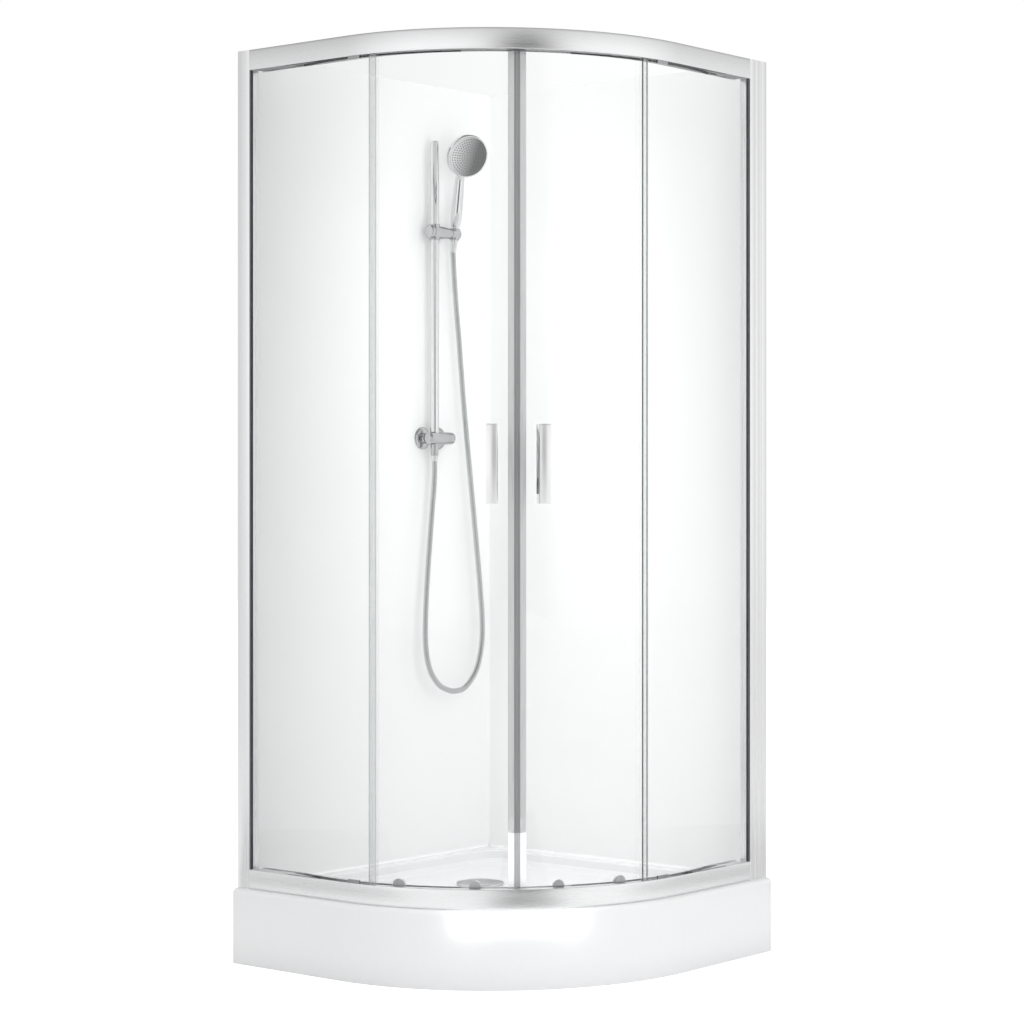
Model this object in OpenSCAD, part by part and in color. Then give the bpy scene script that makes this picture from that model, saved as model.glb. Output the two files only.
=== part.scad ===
// Quadrant corner shower enclosure with tray, two sliding doors, wall panels and shower set.
// Lengths are in millimetres. The floor is z = 0 and the tray's square is centred on the origin.
// Inside site() the room corner is the origin: one wall is x = 0, the other is y = 0.

/* [Tray] */
// Side of the square that the tray fills
tray_side = 900; // [880:10:960]
// Radius of the tray's curved front
tray_radius = 550; // [540:5:560]
// Height of the tray and its apron
tray_h = 175; // [160:5:220]
// Thickness of the tray shell
tray_wall = 6; // [5:1:8]
// Radius of the rounded upper edge of the apron
tray_edge_r = 10; // [6:1:14]
// Height of the lip along the two walls
tray_lip = 45; // [40:5:60]
// Width of the rim along the walls
rim_back = 50; // [40:5:60]
// Width of the rim behind the apron
rim_front = 78; // [72:2:90]
// Depth of the basin below the rim
basin_depth = 30; // [20:2:40]
// Radius of the basin's corners
basin_corner_r = 60; // [40:5:80]
// Thickness of the board under the basin
board_t = 15; // [12:1:18]
// Diameter of each foot's pad
foot_d = 50; // [40:2:60]

/* [Waste] */
// Distance of the waste from the left wall
drain_x = 290; // [270:5:330]
// Distance of the waste from the right wall
drain_y = 360; // [330:5:380]
// Diameter of the hole in the basin
drain_hole_d = 90; // [85:1:95]
// Diameter of the lift-out cover
drain_cover_d = 115; // [110:1:120]
// Depth of the trap below the basin
trap_h = 92; // [80:2:100]
// Diameter of the waste pipe
pipe_d = 40; // [32:1:50]

/* [Frame] */
// Height of the frame above the tray
frame_h = 1950; // [1850:10:2050]
// Distance from the tray's edge to the frame's outer face
frame_inset = 15; // [12:1:20]
// Depth of both rails
rail_depth = 46; // [46:1:52]
// Height of the top rail
top_rail_h = 47; // [47:1:55]
// Height of the bottom rail
bottom_rail_h = 45; // [44:1:48]
// Wall thickness of the rails
rail_wall = 2.5; // [2:0.1:2.8]
// Bevel along the outer edges of the rails
rail_bevel = 1.6; // [1:0.1:1.8]
// Thickness of the wall profiles and posts
post_t = 30; // [28:1:34]
// Depth of each wall profile
wall_profile_d = 28; // [26:1:34]
// Wall thickness of the wall profiles and posts
post_wall = 2.2; // [2:0.1:2.6]
// Part of the left post that shows beside its wall profile
left_post_show = 11; // [11:1:40]
// Part of the right post that shows beside its wall profile
right_post_show = 38; // [11:1:40]

/* [Glass] */
// Thickness of every pane
glass_t = 5; // [4:1:5]
// Distance from the frame's face to the fixed panes
pane_inset = 3.5; // [3.2:0.1:4]
// Angle from the middle of the curve to the left fixed pane
pane_angle = 36; // [34:0.5:38]

/* [Doors] */
// How much larger the doors' circle is than the frame's arc
track_grow = 30; // [25:1:35]
// Distance from the frame's face to that circle at the middle
track_inset = 30; // [29.5:0.5:31]
// Half width of the seal where the doors meet
seam = 14; // [12:1:16]
// Overlap of each door behind its fixed pane
door_overlap = 25; // [20:1:30]
// Angle by which the left door slides open
door_travel = 24; // [20:1:24]
// Distance from the seam to each handle
handle_at = 55; // [50:1:60]
// Height of the handles' middle above the tray
handle_z = 986; // [900:10:1100]
// Length of the handles
handle_h = 176; // [150:2:200]
// Width of the handles
handle_w = 24; // [20:1:28]
// Distance from the glass to the front of the handles
handle_reach = 46; // [40:1:52]
// Distance from the seam to the first roller
roller_near = 93; // [90:1:100]
// Distance from each door's outer end to its second roller
roller_far = 75; // [70:1:85]
// Radius of the roller wheels
wheel_r = 11.5; // [11:0.25:12]
// Height of the lower roller axles above the bottom rail
bottom_axle_rise = 3; // [2.5:0.25:4]
// Distance from the frame's top to the upper roller axles
top_axle_drop = 27; // [26.5:0.25:28]

/* [Wall panels] */
// Thickness of the wall panels
panel_t = 6; // [4:1:8]

/* [Shower set] */
// Distance from the wall to the riser's middle
riser_off = 40; // [38:1:46]
// Distance from the room corner to the riser
riser_y = 250; // [240:2:260]
// Diameter of the riser
riser_d = 22; // [20:1:23]
// Height of the riser's top above the tray
riser_top = 1804; // [1780:2:1840]
// Height of the mixer above the tray
mixer_z = 1056; // [1040:2:1070]
// Height of the slider above the tray
slider_z = 1575; // [1500:1:1590]
// Distance from the riser to the handset holder
holder_reach = 75; // [70:1:88]
// Forward lean of the handset
handset_lean = 7; // [6:1:12]
// Diameter of the spray head
head_d = 110; // [96:2:110]
// Diameter of the hose
hose_d = 14; // [12:1:15]

/* [Hidden] */
$fn = 48;
arc_fn = 240;
eps = 1;
// Gap between pieces that only touch
touch = 0.05;
// Gap between pieces that rest near each other
near = 0.3;

// Frame and arc, derived from the tray
arc_c = tray_side - tray_radius;
frame_r = tray_radius - frame_inset;
frame_side = tray_side - frame_inset;
frame_top = tray_h + frame_h;
rail_in = frame_r - rail_depth;
pane_out = frame_r - pane_inset;
pane_in = pane_out - glass_t;
pane_room = 0.8;
pane_bottom = tray_h + rail_wall + near;
pane_top = frame_top - rail_wall - near;
left_face = wall_profile_d + left_post_show;
right_face = wall_profile_d + right_post_show;

// Circle of the doors' track
track_r = frame_r + track_grow;
track_back = track_r - (frame_r - track_inset);
track_c = arc_c - track_back / sqrt(2);
glass_half = glass_t / 2;
track_span = 60.6;
// Angle on the track circle that lies at angle a of the frame's arc
function on_track(a) = a - asin(track_back * sin(a) / track_r);
function track_deg(length) = length / track_r * 180 / PI;
function arc_deg(length, r) = length / r * 180 / PI;
// Free edge of a fixed pane: both are cut to one width, so it follows the post's face
function free_edge(face) = pane_angle - 45 - arc_deg(face - left_face, pane_in);
door_from = track_deg(seam);
function door_end(face) = on_track(free_edge(face) + 45) + track_deg(door_overlap);
// Each door stops where its handle comes near the fixed pane
function travel(face) = door_travel - door_end(left_face) + door_end(face);
door_bottom = tray_h + 12;
door_top = frame_top - 8;
slot_out = glass_half + 3;
slot_in = glass_half + 1.7;

// Rollers: wheel, spacer and cap stand on the inner side of the door glass
wheel_w = 7;
wheel_gap = 3;
wheel_mid = glass_half + wheel_gap + wheel_w / 2;
axle_r = 3;
axle_fit = 0.06;
bolt_r = 4;
bolt_fit = 0.2;
cap_r = 6;
cap_t = 1.5;
head_r = 13;
head_t = 1;
head_slot = 2;
side_play = 0.2;
roller_in = wheel_mid + wheel_w / 2 + side_play + cap_t;
leg_t = 2;
leg_in = roller_in + 1;
bottom_axle_z = tray_h + bottom_rail_h + bottom_axle_rise;
top_axle_z = frame_top - top_axle_drop;
near_angle = track_deg(roller_near);
function far_angle(face) = door_end(face) - track_deg(roller_far);

// Seals
clip_t = 1.2;
magnet_w = 6.5;
magnet_gap = 0.3;
clip_w = 12;
seal_bottom = tray_h + bottom_rail_h + 1.5;
seal_top = frame_top - top_rail_h - 1.5;
fin_t = 0.8;
// Gap between a seal's lips and the glass
lip_gap = 0.15;
fin_out = 7;

// Shower set
hand_x = riser_off;
hand_y = riser_y - holder_reach;
slider_at = tray_h + slider_z;
mixer_at = tray_h + mixer_z;
slider_r = 17;
holder_r = 13;
holder_half = 17;
holder_out = 12;
grip_r = 9.9;
turn = -20;
face_tilt = 15;
head_at = 199;
head_off = 29;
nut_end = 46;
body_r = 16.5;
barrel_r = 15.2;
outlet_end = 44;
outlet_nut_end = 58;

// Hose: points on its middle line, from the mixer's outlet to the handset, in the room corner's frame
HOSE_LOOP = [[40, -250, 1173], [40, -251, 1130], [40, -258, 1060], [41, -269, 970], [43, -281, 870],
  [45, -289, 780], [47, -291, 715], [50, -281, 655], [53, -254, 615], [55, -222, 597], [55, -186, 591],
  [54, -148, 600], [52, -106, 640], [49, -83, 700], [46, -76, 760], [43, -81, 850], [41, -93, 960],
  [40, -108, 1080], [40, -126, 1210], [39, -142, 1340], [38, -156, 1480]];
HOSE_TOP = [[38, -156, 1480], [36, -164, 1560], [35, -171, 1640], [34.391, -175, 1704.31]];
hose_sides = 10;
hose_steps = 2;

// Frames and sweeps
module site() { translate([-tray_side / 2, tray_side / 2, 0]) children(); }
module left_hand() { mirror([1, 1, 0]) children(); }
module block(low, high) { translate(low) cube(high - low); }
module rod(r, low, high) { translate([0, 0, low]) cylinder(r = r, h = high - low); }

// Quadrant plan, cut back by inset at the front and by back along the walls
module slab(inset, back, z0, z1) {
  reach = tray_side - inset;
  intersection() {
    block([back, -reach, z0], [reach, -back, z1]);
    union() {
      block([-2 * eps, -tray_side - eps, z0], [arc_c, 2 * eps, z1]);
      block([-2 * eps, -arc_c, z0], [tray_side + eps, 2 * eps, z1]);
      translate([arc_c, -arc_c, z0]) cylinder(r = tray_radius - inset, h = z1 - z0, $fn = arc_fn);
    }
  }
}

// Sweep of a section drawn as radius and height: along the arc, or straight towards a wall
module about_arc(a0, a1) {
  translate([arc_c, -arc_c, 0]) rotate([0, 0, a0]) rotate_extrude(angle = a1 - a0, $fn = arc_fn) children();
}
module straight(face) {
  translate([arc_c, -face, 0]) rotate([90, 0, 0]) linear_extrude(height = arc_c - face) children();
}
module around(left_stop, right_stop) {
  about_arc(-90, 0) children();
  straight(right_stop) children();
  left_hand() straight(left_stop) children();
}
module about_track(a0, a1) {
  translate([track_c, -track_c, 0]) rotate([0, 0, a0 - 45])
    rotate_extrude(angle = a1 - a0, $fn = arc_fn) children();
}
module ring(r0, r1, z0, z1) { translate([r0, z0]) square([r1 - r0, z1 - z0]); }
// Place on the door's circle: x points out of the enclosure, y along the door towards the wall
module on_door(angle, z) {
  translate([track_c, -track_c, z]) rotate([0, 0, angle - 45]) translate([track_r, 0, 0]) children();
}
module outwards() { rotate([0, 90, 0]) children(); }

// Tray: shell with apron, rim and basin
corner_steps = 8;
function corner(x, y, from) = [for (k = [0:corner_steps]) let (a = from + 90 * k / corner_steps)
  [x + basin_corner_r * cos(a), y + basin_corner_r * sin(a)]];
module basin(grow, z0, z1) {
  back = rim_back - grow;
  side = tray_side - rim_front + grow;
  r = basin_corner_r;
  intersection() {
    slab(rim_front - grow, back, z0, z1);
    translate([0, 0, z0]) linear_extrude(height = z1 - z0)
      polygon(concat([[side, -side]], corner(side - r, -back - r, 0), corner(back + r, -back - r, 90),
        corner(back + r, -side + r, 180)));
  }
}
edge_steps = 8;
module edge_cut() {
  r = tray_edge_r;
  around(-eps, -eps) polygon(concat(
    [for (k = [0:edge_steps]) let (a = 90 * k / edge_steps)
      [tray_radius - r + r * sin(a), tray_h - r + r * cos(a)]],
    [[tray_radius + eps, tray_h - r], [tray_radius + eps, tray_h + eps], [tray_radius - r, tray_h + eps]]));
}
floor_z = tray_h - basin_depth;
under_z = floor_z - tray_wall;
module tray() {
  color("#eef0f1") site() difference() {
    slab(0, 0, 0, tray_h);
    difference() {
      slab(tray_wall, tray_wall, -eps, tray_h - tray_wall);
      basin(tray_wall, under_z, tray_h);
    }
    slab(tray_wall, -eps, -eps, tray_h - tray_lip);
    basin(0, floor_z, tray_h + eps);
    translate([drain_x, -drain_y, under_z - eps]) cylinder(d = drain_hole_d, h = tray_wall + 2 * eps);
    edge_cut();
  }
}

// Board under the basin, five adjustable feet with their nuts
board_gap = 30;
waste_room = 15;
foot_back = 110;
foot_side = tray_side - 140;
foot_front = [tray_side - 250, tray_side - 380];
FEET = [[foot_back, -foot_back], [foot_back, -foot_side], [foot_side, -foot_back],
  [foot_front[0], -foot_front[1]], [foot_front[1], -foot_front[0]]];
foot_pad_t = 8;
foot_rod_r = 6;
foot_nut_t = 10;
module support_board() {
  color("#c8a877") site() difference() {
    slab(rim_front + board_gap, rim_back + board_gap / 2, under_z - board_t, under_z);
    translate([drain_x, -drain_y, under_z - board_t - eps])
      cylinder(d = drain_cover_d + 2 * waste_room, h = board_t + 2 * eps);
    for (p = FEET) translate([p[0], p[1], under_z - board_t - eps])
      cylinder(r = foot_rod_r + touch, h = board_t + 2 * eps);
  }
}
module tray_feet() {
  color("#4a4c4e") site() for (p = FEET) translate([p[0], p[1], 0]) {
    cylinder(d = foot_d, h = foot_pad_t);
    rod(foot_rod_r, foot_pad_t - eps, under_z - eps);
    translate([0, 0, under_z - board_t - foot_nut_t]) cylinder(r = foot_rod_r * 2, h = foot_nut_t, $fn = 6);
  }
}

// Waste: trap with outlet pipe, gasket, flange in the basin, lift-out cover
gasket_t = 2;
flange_t = 2.5;
tail_r = drain_hole_d / 2 - 1;
tail_in = tail_r - 3;
trap_r = drain_hole_d / 2 + 9;
trap_wall = 3;
pipe_wall = 2;
// Height of the pipe's axis: its bore clears the trap's bottom
pipe_z = under_z - gasket_t - trap_h + trap_wall + pipe_d / 2 + pipe_wall;
pipe_nut_t = 6;
pipe_nut_l = 18;
module at_drain(z) { translate([drain_x, -drain_y, z]) children(); }
module waste_trap() {
  top = under_z - gasket_t;
  pipe_out = drain_x - rim_back;
  color("#d9dbdc") site() at_drain(0) difference() {
    union() {
      rod(trap_r, top - trap_h, top);
      translate([0, 0, pipe_z]) rotate([0, -90, 0]) {
        cylinder(d = pipe_d, h = pipe_out);
        rod(pipe_d / 2 + pipe_nut_t, trap_r - pipe_nut_t, trap_r + pipe_nut_l);
      }
    }
    rod(trap_r - trap_wall, top - trap_h + trap_wall, top + eps);
    translate([0, 0, pipe_z]) rotate([0, -90, 0]) cylinder(d = pipe_d - 2 * pipe_wall, h = pipe_out + eps);
  }
}
module trap_gasket() {
  color("#3a3b3c") site() at_drain(under_z - gasket_t) difference() {
    cylinder(r = trap_r, h = gasket_t);
    rod(tail_r + near, -eps, gasket_t + eps);
  }
}
module waste_flange() {
  color("#c9ccce") site() at_drain(0) difference() {
    union() {
      rod(drain_cover_d / 2 - 3, floor_z, floor_z + flange_t);
      rod(tail_r, under_z - 20, floor_z + eps / 2);
    }
    rod(tail_in, under_z - 20 - eps, floor_z + flange_t + eps);
  }
}
cover_t = 3;
cover_rise = 3;
module drain_cover() {
  z = floor_z + flange_t + near;
  color("#dfe2e4") site() at_drain(z) {
    rotate_extrude() polygon([[0, 0], [drain_cover_d / 2 - 1, 0], [drain_cover_d / 2, 1],
      [drain_cover_d / 2, cover_t - 1], [drain_cover_d / 2 - 3, cover_t], [0, cover_t + cover_rise]]);
    for (a = [0:90:270]) rotate([0, 0, a]) block([tail_in - 12, -3, -16], [tail_in - 1, 3, eps / 2]);
  }
}

// Wall panels and the seals in their corners
module left_panel() {
  color("#f4f5f5") site() block([0, -(frame_side - post_t - near), tray_h], [panel_t, 0, frame_top]);
}
module right_panel() {
  color("#f4f5f5") site() block([panel_t, -panel_t, tray_h], [frame_side - post_t - near, 0, frame_top]);
}
bead = 5;
module bead_section() { polygon([[0, 0], [bead, 0], [bead * 0.35, bead * 0.35], [0, bead]]); }
module panel_seals() {
  low = tray_h;
  run = frame_side - post_t - 2 * near - panel_t - bead;
  color("#e6e8e8") site() translate([panel_t, -panel_t, 0]) {
    translate([0, 0, low + bead]) mirror([0, 1, 0])
      linear_extrude(height = frame_h - 2 * bead) bead_section();
    translate([bead, 0, low]) rotate([90, 0, 90]) mirror([1, 0, 0])
      linear_extrude(height = run) bead_section();
    translate([0, -bead, low]) rotate([90, 0, 0]) linear_extrude(height = run) bead_section();
  }
}

// Wall profiles, adjusting posts and the screws that join them
tongue = 18;
tongue_gap = 0.2;
pocket = 8;
screw_heights = [0.08, 0.5, 0.92];
wall_hole_r = 2.75;
wall_hole_z = [0.15, 0.5, 0.85];
groove = 1.2;
groove_in = 16;
groove_at = 19;
module wall_profile(grooved) {
  x0 = frame_side - post_t;
  difference() {
    block([x0, -wall_profile_d, tray_h], [frame_side, 0, frame_top]);
    block([x0 + post_wall, -wall_profile_d - eps, tray_h - eps],
      [frame_side - post_wall, -post_wall, frame_top + eps]);
    if (grooved) block([frame_side - groove / 2, -groove_at - groove, tray_h - eps],
      [frame_side + eps, -groove_at, frame_top + eps]);
    for (k = wall_hole_z) translate([frame_side - post_t / 2, eps, tray_h + frame_h * k])
      rotate([90, 0, 0]) cylinder(r = wall_hole_r, h = post_wall + 2 * eps);
    post_holes(screw_hole_r);
  }
}
screw_r = 1.9;
screw_hole_r = 2;
module post_holes(r) {
  for (k = screw_heights)
    translate([frame_side - post_t - eps, -wall_profile_d + tongue / 2, tray_h + frame_h * k])
      outwards() cylinder(r = r, h = 2 * eps + 2 * post_wall + tongue_gap);
}
module post(face) {
  x0 = frame_side - post_t;
  inner = x0 + post_wall + tongue_gap;
  outer = frame_side - post_wall - tongue_gap;
  room = face - wall_profile_d - pocket - 2 * post_wall;
  difference() {
    union() {
      block([x0, -face, tray_h], [frame_side, -wall_profile_d - touch, frame_top]);
      block([inner, -wall_profile_d - eps, tray_h], [outer, -wall_profile_d + tongue, frame_top]);
    }
    block([inner + post_wall, -wall_profile_d - post_wall, tray_h - eps],
      [outer - post_wall, -wall_profile_d + tongue + eps, frame_top + eps]);
    if (room > post_wall)
      block([x0 + post_wall, -wall_profile_d - post_wall - room, tray_h - eps],
        [frame_side - post_wall, -wall_profile_d - post_wall, frame_top + eps]);
    if (room > post_wall)
      block([frame_side - groove / 2, -wall_profile_d - groove_in - groove, tray_h - eps],
        [frame_side + eps, -wall_profile_d - groove_in, frame_top + eps]);
    block([arc_c + pane_in - clip_t, -face - eps, tray_h - eps],
      [arc_c + pane_out + clip_t, -face + pocket, frame_top + eps]);
    post_holes(screw_hole_r);
  }
}
module wall_profiles() {
  color("#c9ccce") site() {
    wall_profile(true);
    left_hand() wall_profile(false);
  }
}
module left_post() { color("#d3d6d8") site() left_hand() post(left_face); }
module right_post() { color("#d3d6d8") site() post(right_face); }
module post_screw_set() {
  for (k = screw_heights)
    translate([frame_side - post_t, -wall_profile_d + tongue / 2, tray_h + frame_h * k]) outwards() {
      rod(screw_r, -touch, 2 * post_wall + tongue_gap);
      rod(screw_r * 2, -2, -touch);
    }
}
module post_screws() {
  color("#b9bcbe") site() {
    post_screw_set();
    left_hand() post_screw_set();
  }
}

// Rails: one bent profile each, open below at the top and above at the bottom
module rail_section(z0, z1, web_at_top) {
  c = rail_bevel;
  web = web_at_top ? z1 - rail_wall : z0 + rail_wall;
  open = web_at_top ? z0 : z1;
  closed = web_at_top ? z1 : z0;
  s = web_at_top ? 1 : -1;
  polygon([[rail_in, open], [rail_in, closed], [frame_r - c, closed], [frame_r, closed - s * c],
    [frame_r, open + s * c], [frame_r - c, open], [frame_r - rail_wall, open], [frame_r - rail_wall, web],
    [rail_in + rail_wall, web], [rail_in + rail_wall, open]]);
}
module top_rail() {
  color("#cdd0d2") site() around(left_face, right_face)
    rail_section(frame_top - top_rail_h, frame_top, true);
}
module bottom_rail() {
  color("#cdd0d2") site() around(left_face, right_face) rail_section(tray_h, tray_h + bottom_rail_h, false);
}

// Tracks: seated in the rails, they follow the doors' circle and leave a slot for the glass
module pane_channel(face, z0, z1) {
  a0 = free_edge(face) - arc_deg(2, pane_in);
  about_arc(a0, 0) ring(pane_in - pane_room, frame_r, z0 - eps, z1 + eps);
  straight(face) ring(pane_in - pane_room, frame_r, z0 - eps, z1 + eps);
}
// Room for the tracks: between the rail's legs, the panes' channels and the connectors
module rail_room(z0, z1) {
  difference() {
    around(connector_to + near, connector_to + near)
      ring(rail_in + rail_wall, frame_r - rail_wall, z0, z1);
    pane_channel(right_face, z0, z1);
    left_hand() pane_channel(left_face, z0, z1);
  }
}
far = 40;
module track(z0, z1, ledge_z, lip_z) {
  intersection() {
    rail_room(z0, z1);
    about_track(-track_span, track_span) ring(track_r + slot_out, track_r + slot_out + leg_t, z0, z1);
  }
  intersection() {
    rail_room(lip_z, lip_z + leg_t);
    about_track(-track_span, track_span)
      ring(track_r + slot_out + leg_t, track_r + far, lip_z, lip_z + leg_t);
  }
  intersection() {
    rail_room(z0, z1);
    about_track(-track_span, track_span)
      polygon([[track_r - leg_in - leg_t, z0], [track_r - leg_in, z0], [track_r - leg_in, ledge_z - leg_t],
        [track_r - slot_in, ledge_z - leg_t], [track_r - slot_in, ledge_z], [track_r - leg_in, ledge_z],
        [track_r - leg_in, z1], [track_r - leg_in - leg_t, z1]]);
  }
  intersection() {
    rail_room(lip_z, lip_z + leg_t);
    about_track(-track_span, track_span) ring(track_r - far, track_r - leg_in - leg_t, lip_z, lip_z + leg_t);
  }
}
module top_track() {
  color("#b7babc") site() track(frame_top - top_rail_h, frame_top - rail_wall,
    top_axle_z - wheel_r - near, frame_top - top_rail_h);
}
module bottom_track() {
  color("#b7babc") site() track(tray_h + rail_wall, tray_h + bottom_rail_h,
    bottom_axle_z - wheel_r - near, tray_h + bottom_rail_h - leg_t);
}

// Plastic blocks that join the rails to the posts and fill the rails up to the tracks
connector_to = 150;
module connector(face, z0, z1) {
  x1 = arc_c + pane_in - pane_room;
  block([arc_c + rail_in + rail_wall + near, -connector_to, z0], [x1, -face - touch, z1]);
}
module rail_connectors() {
  color("#8d9092") site() {
    for (z = [[tray_h + rail_wall, tray_h + bottom_rail_h - rail_wall],
        [frame_top - top_rail_h + rail_wall, frame_top - rail_wall]]) {
      connector(right_face, z[0], z[1]);
      left_hand() connector(left_face, z[0], z[1]);
    }
  }
}

// Fixed panes with their gaskets, edge seals and clips
module pane_side(r, h) {
  cylinder(r = r, h = h, $fn = arc_fn);
  block([0, 0, 0], [r, arc_c, h]);
}
module pane(face) {
  h = pane_top - pane_bottom;
  translate([arc_c, -arc_c, pane_bottom]) intersection() {
    difference() {
      pane_side(pane_out, h);
      translate([0, 0, -eps]) pane_side(pane_in, h + 2 * eps);
    }
    union() {
      block([pane_in / 2, -eps / 10, -eps], [pane_out + eps, arc_c - face + pocket - clip_t, h + eps]);
      rotate([0, 0, free_edge(face)]) block([pane_in / 2, 0, -eps], [pane_out + eps, pane_out / 2, h + eps]);
    }
  }
}
module left_pane() { color([0.86, 0.92, 0.91, 0.35]) site() left_hand() pane(left_face); }
module right_pane() { color([0.86, 0.92, 0.91, 0.35]) site() pane(right_face); }
gasket_show = 4;
module gasket(face) {
  z0 = tray_h + bottom_rail_h + near;
  z1 = frame_top - top_rail_h - near;
  difference() {
    block([arc_c + pane_in - clip_t, -face - gasket_show, z0],
      [arc_c + pane_out + clip_t, -face + pocket, z1]);
    block([arc_c + pane_in, -face - gasket_show - eps, z0 - eps],
      [arc_c + pane_out, -face + pocket - clip_t, z1 + eps]);
  }
}
module pane_gaskets() {
  color("#5b6062") site() {
    gasket(right_face);
    left_hand() gasket(left_face);
  }
}
pane_clip_w = 12;
module pane_seal(face) {
  edge = free_edge(face);
  a1 = edge + arc_deg(pane_clip_w, pane_in);
  a0 = edge - arc_deg(clip_t, pane_in);
  tip = edge - arc_deg(fin_out, pane_in);
  a_end = edge - arc_deg(lip_gap, pane_in);
  about_arc(a0, a1) ring(pane_out + lip_gap, pane_out + clip_t, seal_bottom, seal_top);
  about_arc(a0, a1) ring(pane_in - clip_t, pane_in - lip_gap, seal_bottom, seal_top);
  about_arc(a0, a_end) ring(pane_in - clip_t, pane_out + clip_t, seal_bottom, seal_top);
  about_arc(tip, a0) ring(pane_in - clip_t, pane_in - clip_t + fin_t, seal_bottom, seal_top);
}
module pane_seals() {
  color("#d5d9da") site() {
    pane_seal(right_face);
    left_hand() pane_seal(left_face);
  }
}
pane_clip_at = 58;
pane_clip_l = 34;
pane_clip_h = 8;
module pane_clip(face) {
  mid = free_edge(face) + arc_deg(pane_clip_at, pane_out);
  half = arc_deg(pane_clip_l, pane_out) / 2;
  for (z = [tray_h + bottom_rail_h + touch, frame_top - top_rail_h - pane_clip_h - touch])
    about_arc(mid - half, mid + half) ring(pane_out + lip_gap, pane_out + 3, z, z + pane_clip_h);
}
module pane_clips() {
  color("#c2c6c8") site() {
    pane_clip(right_face);
    left_hand() pane_clip(left_face);
  }
}

// Rubber stops on the tracks, where the far rollers end their travel
stop_l = 14;
stop_h = 8;
module stops(face) {
  a = far_angle(face) + travel(face) + track_deg(wheel_r) + 0.2;
  for (z = [bottom_axle_z, top_axle_z])
    about_track(a, a + track_deg(stop_l))
      ring(track_r - leg_in + touch, track_r - slot_in - 1, z - wheel_r - near, z - wheel_r - near + stop_h);
}
module door_stops() {
  color("#2f3132") site() {
    stops(right_face);
    left_hand() stops(left_face);
  }
}

// Doors: curved glass, magnetic seal at the seam, edge seal, handle and roller bolts
module roller_places(face) {
  for (a = [near_angle, far_angle(face)], z = [bottom_axle_z, top_axle_z]) on_door(a, z) children();
}
handle_foot_h = 22;
handle_bar_t = 10;
handle_screw_r = 3;
module handle_screw_places() {
  for (s = [-1, 1])
    on_door(track_deg(handle_at), tray_h + handle_z + s * (handle_h - handle_foot_h) / 2) children();
}
module door_glass(face) {
  difference() {
    about_track(door_from, door_end(face)) ring(track_r - glass_half, track_r + glass_half, door_bottom, door_top);
    roller_places(face) outwards() rod(bolt_r + bolt_fit, -glass_t, glass_t);
    handle_screw_places() outwards() rod(handle_screw_r + 1, -glass_t, glass_t);
  }
}
module left_door_glass() { color([0.86, 0.92, 0.91, 0.35]) site() left_hand() door_glass(left_face); }
module right_door_glass() { color([0.86, 0.92, 0.91, 0.35]) site() door_glass(right_face); }

// Seal from angle a0 to a1 with a slot for the glass from s0 to s1
module channel(a0, a1, s0, s1) {
  wall = glass_half + clip_t;
  slot = glass_half + lip_gap;
  difference() {
    about_track(a0, a1) ring(track_r - wall, track_r + wall, seal_bottom, seal_top);
    about_track(s0, s1) ring(track_r - slot, track_r + slot, seal_bottom - eps, seal_top + eps);
  }
}
module seal_clip() {
  a1 = track_deg(seam - 2) + track_deg(clip_w - 4);
  channel(track_deg(magnet_gap + magnet_w), a1, door_from - track_deg(lip_gap), a1 + track_deg(eps));
}
module left_seal_clip() { color("#d5d9da") site() left_hand() seal_clip(); }
module right_seal_clip() { color("#d5d9da") site() seal_clip(); }
module magnet() {
  about_track(track_deg(magnet_gap), track_deg(magnet_gap + magnet_w))
    ring(track_r - glass_half - clip_t, track_r + glass_half + clip_t, seal_bottom, seal_top);
}
module left_magnet() { color("#7b7f81") site() left_hand() magnet(); }
module right_magnet() { color("#7b7f81") site() magnet(); }
module edge_seal(face) {
  a1 = door_end(face);
  a0 = a1 - track_deg(clip_w);
  channel(a0, a1 + track_deg(clip_t), a0 - track_deg(eps), a1 + track_deg(lip_gap));
}
module left_edge_seal() { color("#d5d9da") site() left_hand() edge_seal(left_face); }
module right_edge_seal() { color("#d5d9da") site() edge_seal(right_face); }

module handle() {
  foot = glass_half + touch;
  front = glass_half + handle_reach;
  on_door(track_deg(handle_at), tray_h + handle_z) difference() {
    union() {
      block([front - handle_bar_t, -handle_w / 2, -handle_h / 2], [front, handle_w / 2, handle_h / 2]);
      for (s = [-1, 1]) translate([0, 0, s * (handle_h - handle_foot_h) / 2])
        block([foot, -handle_w / 2, -handle_foot_h / 2], [front - eps, handle_w / 2, handle_foot_h / 2]);
    }
    for (s = [-1, 1]) translate([0, 0, s * (handle_h - handle_foot_h) / 2]) outwards()
      rod(handle_screw_r + touch, 0, front - handle_bar_t);
  }
}
module left_handle() { color("#dcdfe0") site() left_hand() handle(); }
module right_handle() { color("#dcdfe0") site() handle(); }
module handle_screw_set() {
  handle_screw_places() outwards() {
    rod(handle_screw_r * 3, -glass_half - 3, -glass_half - touch);
    rod(handle_screw_r, -glass_half - touch - eps, handle_reach - handle_bar_t - eps);
  }
}
module left_handle_screws() { color("#c2c6c8") site() left_hand() handle_screw_set(); }
module right_handle_screws() { color("#c2c6c8") site() handle_screw_set(); }

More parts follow.
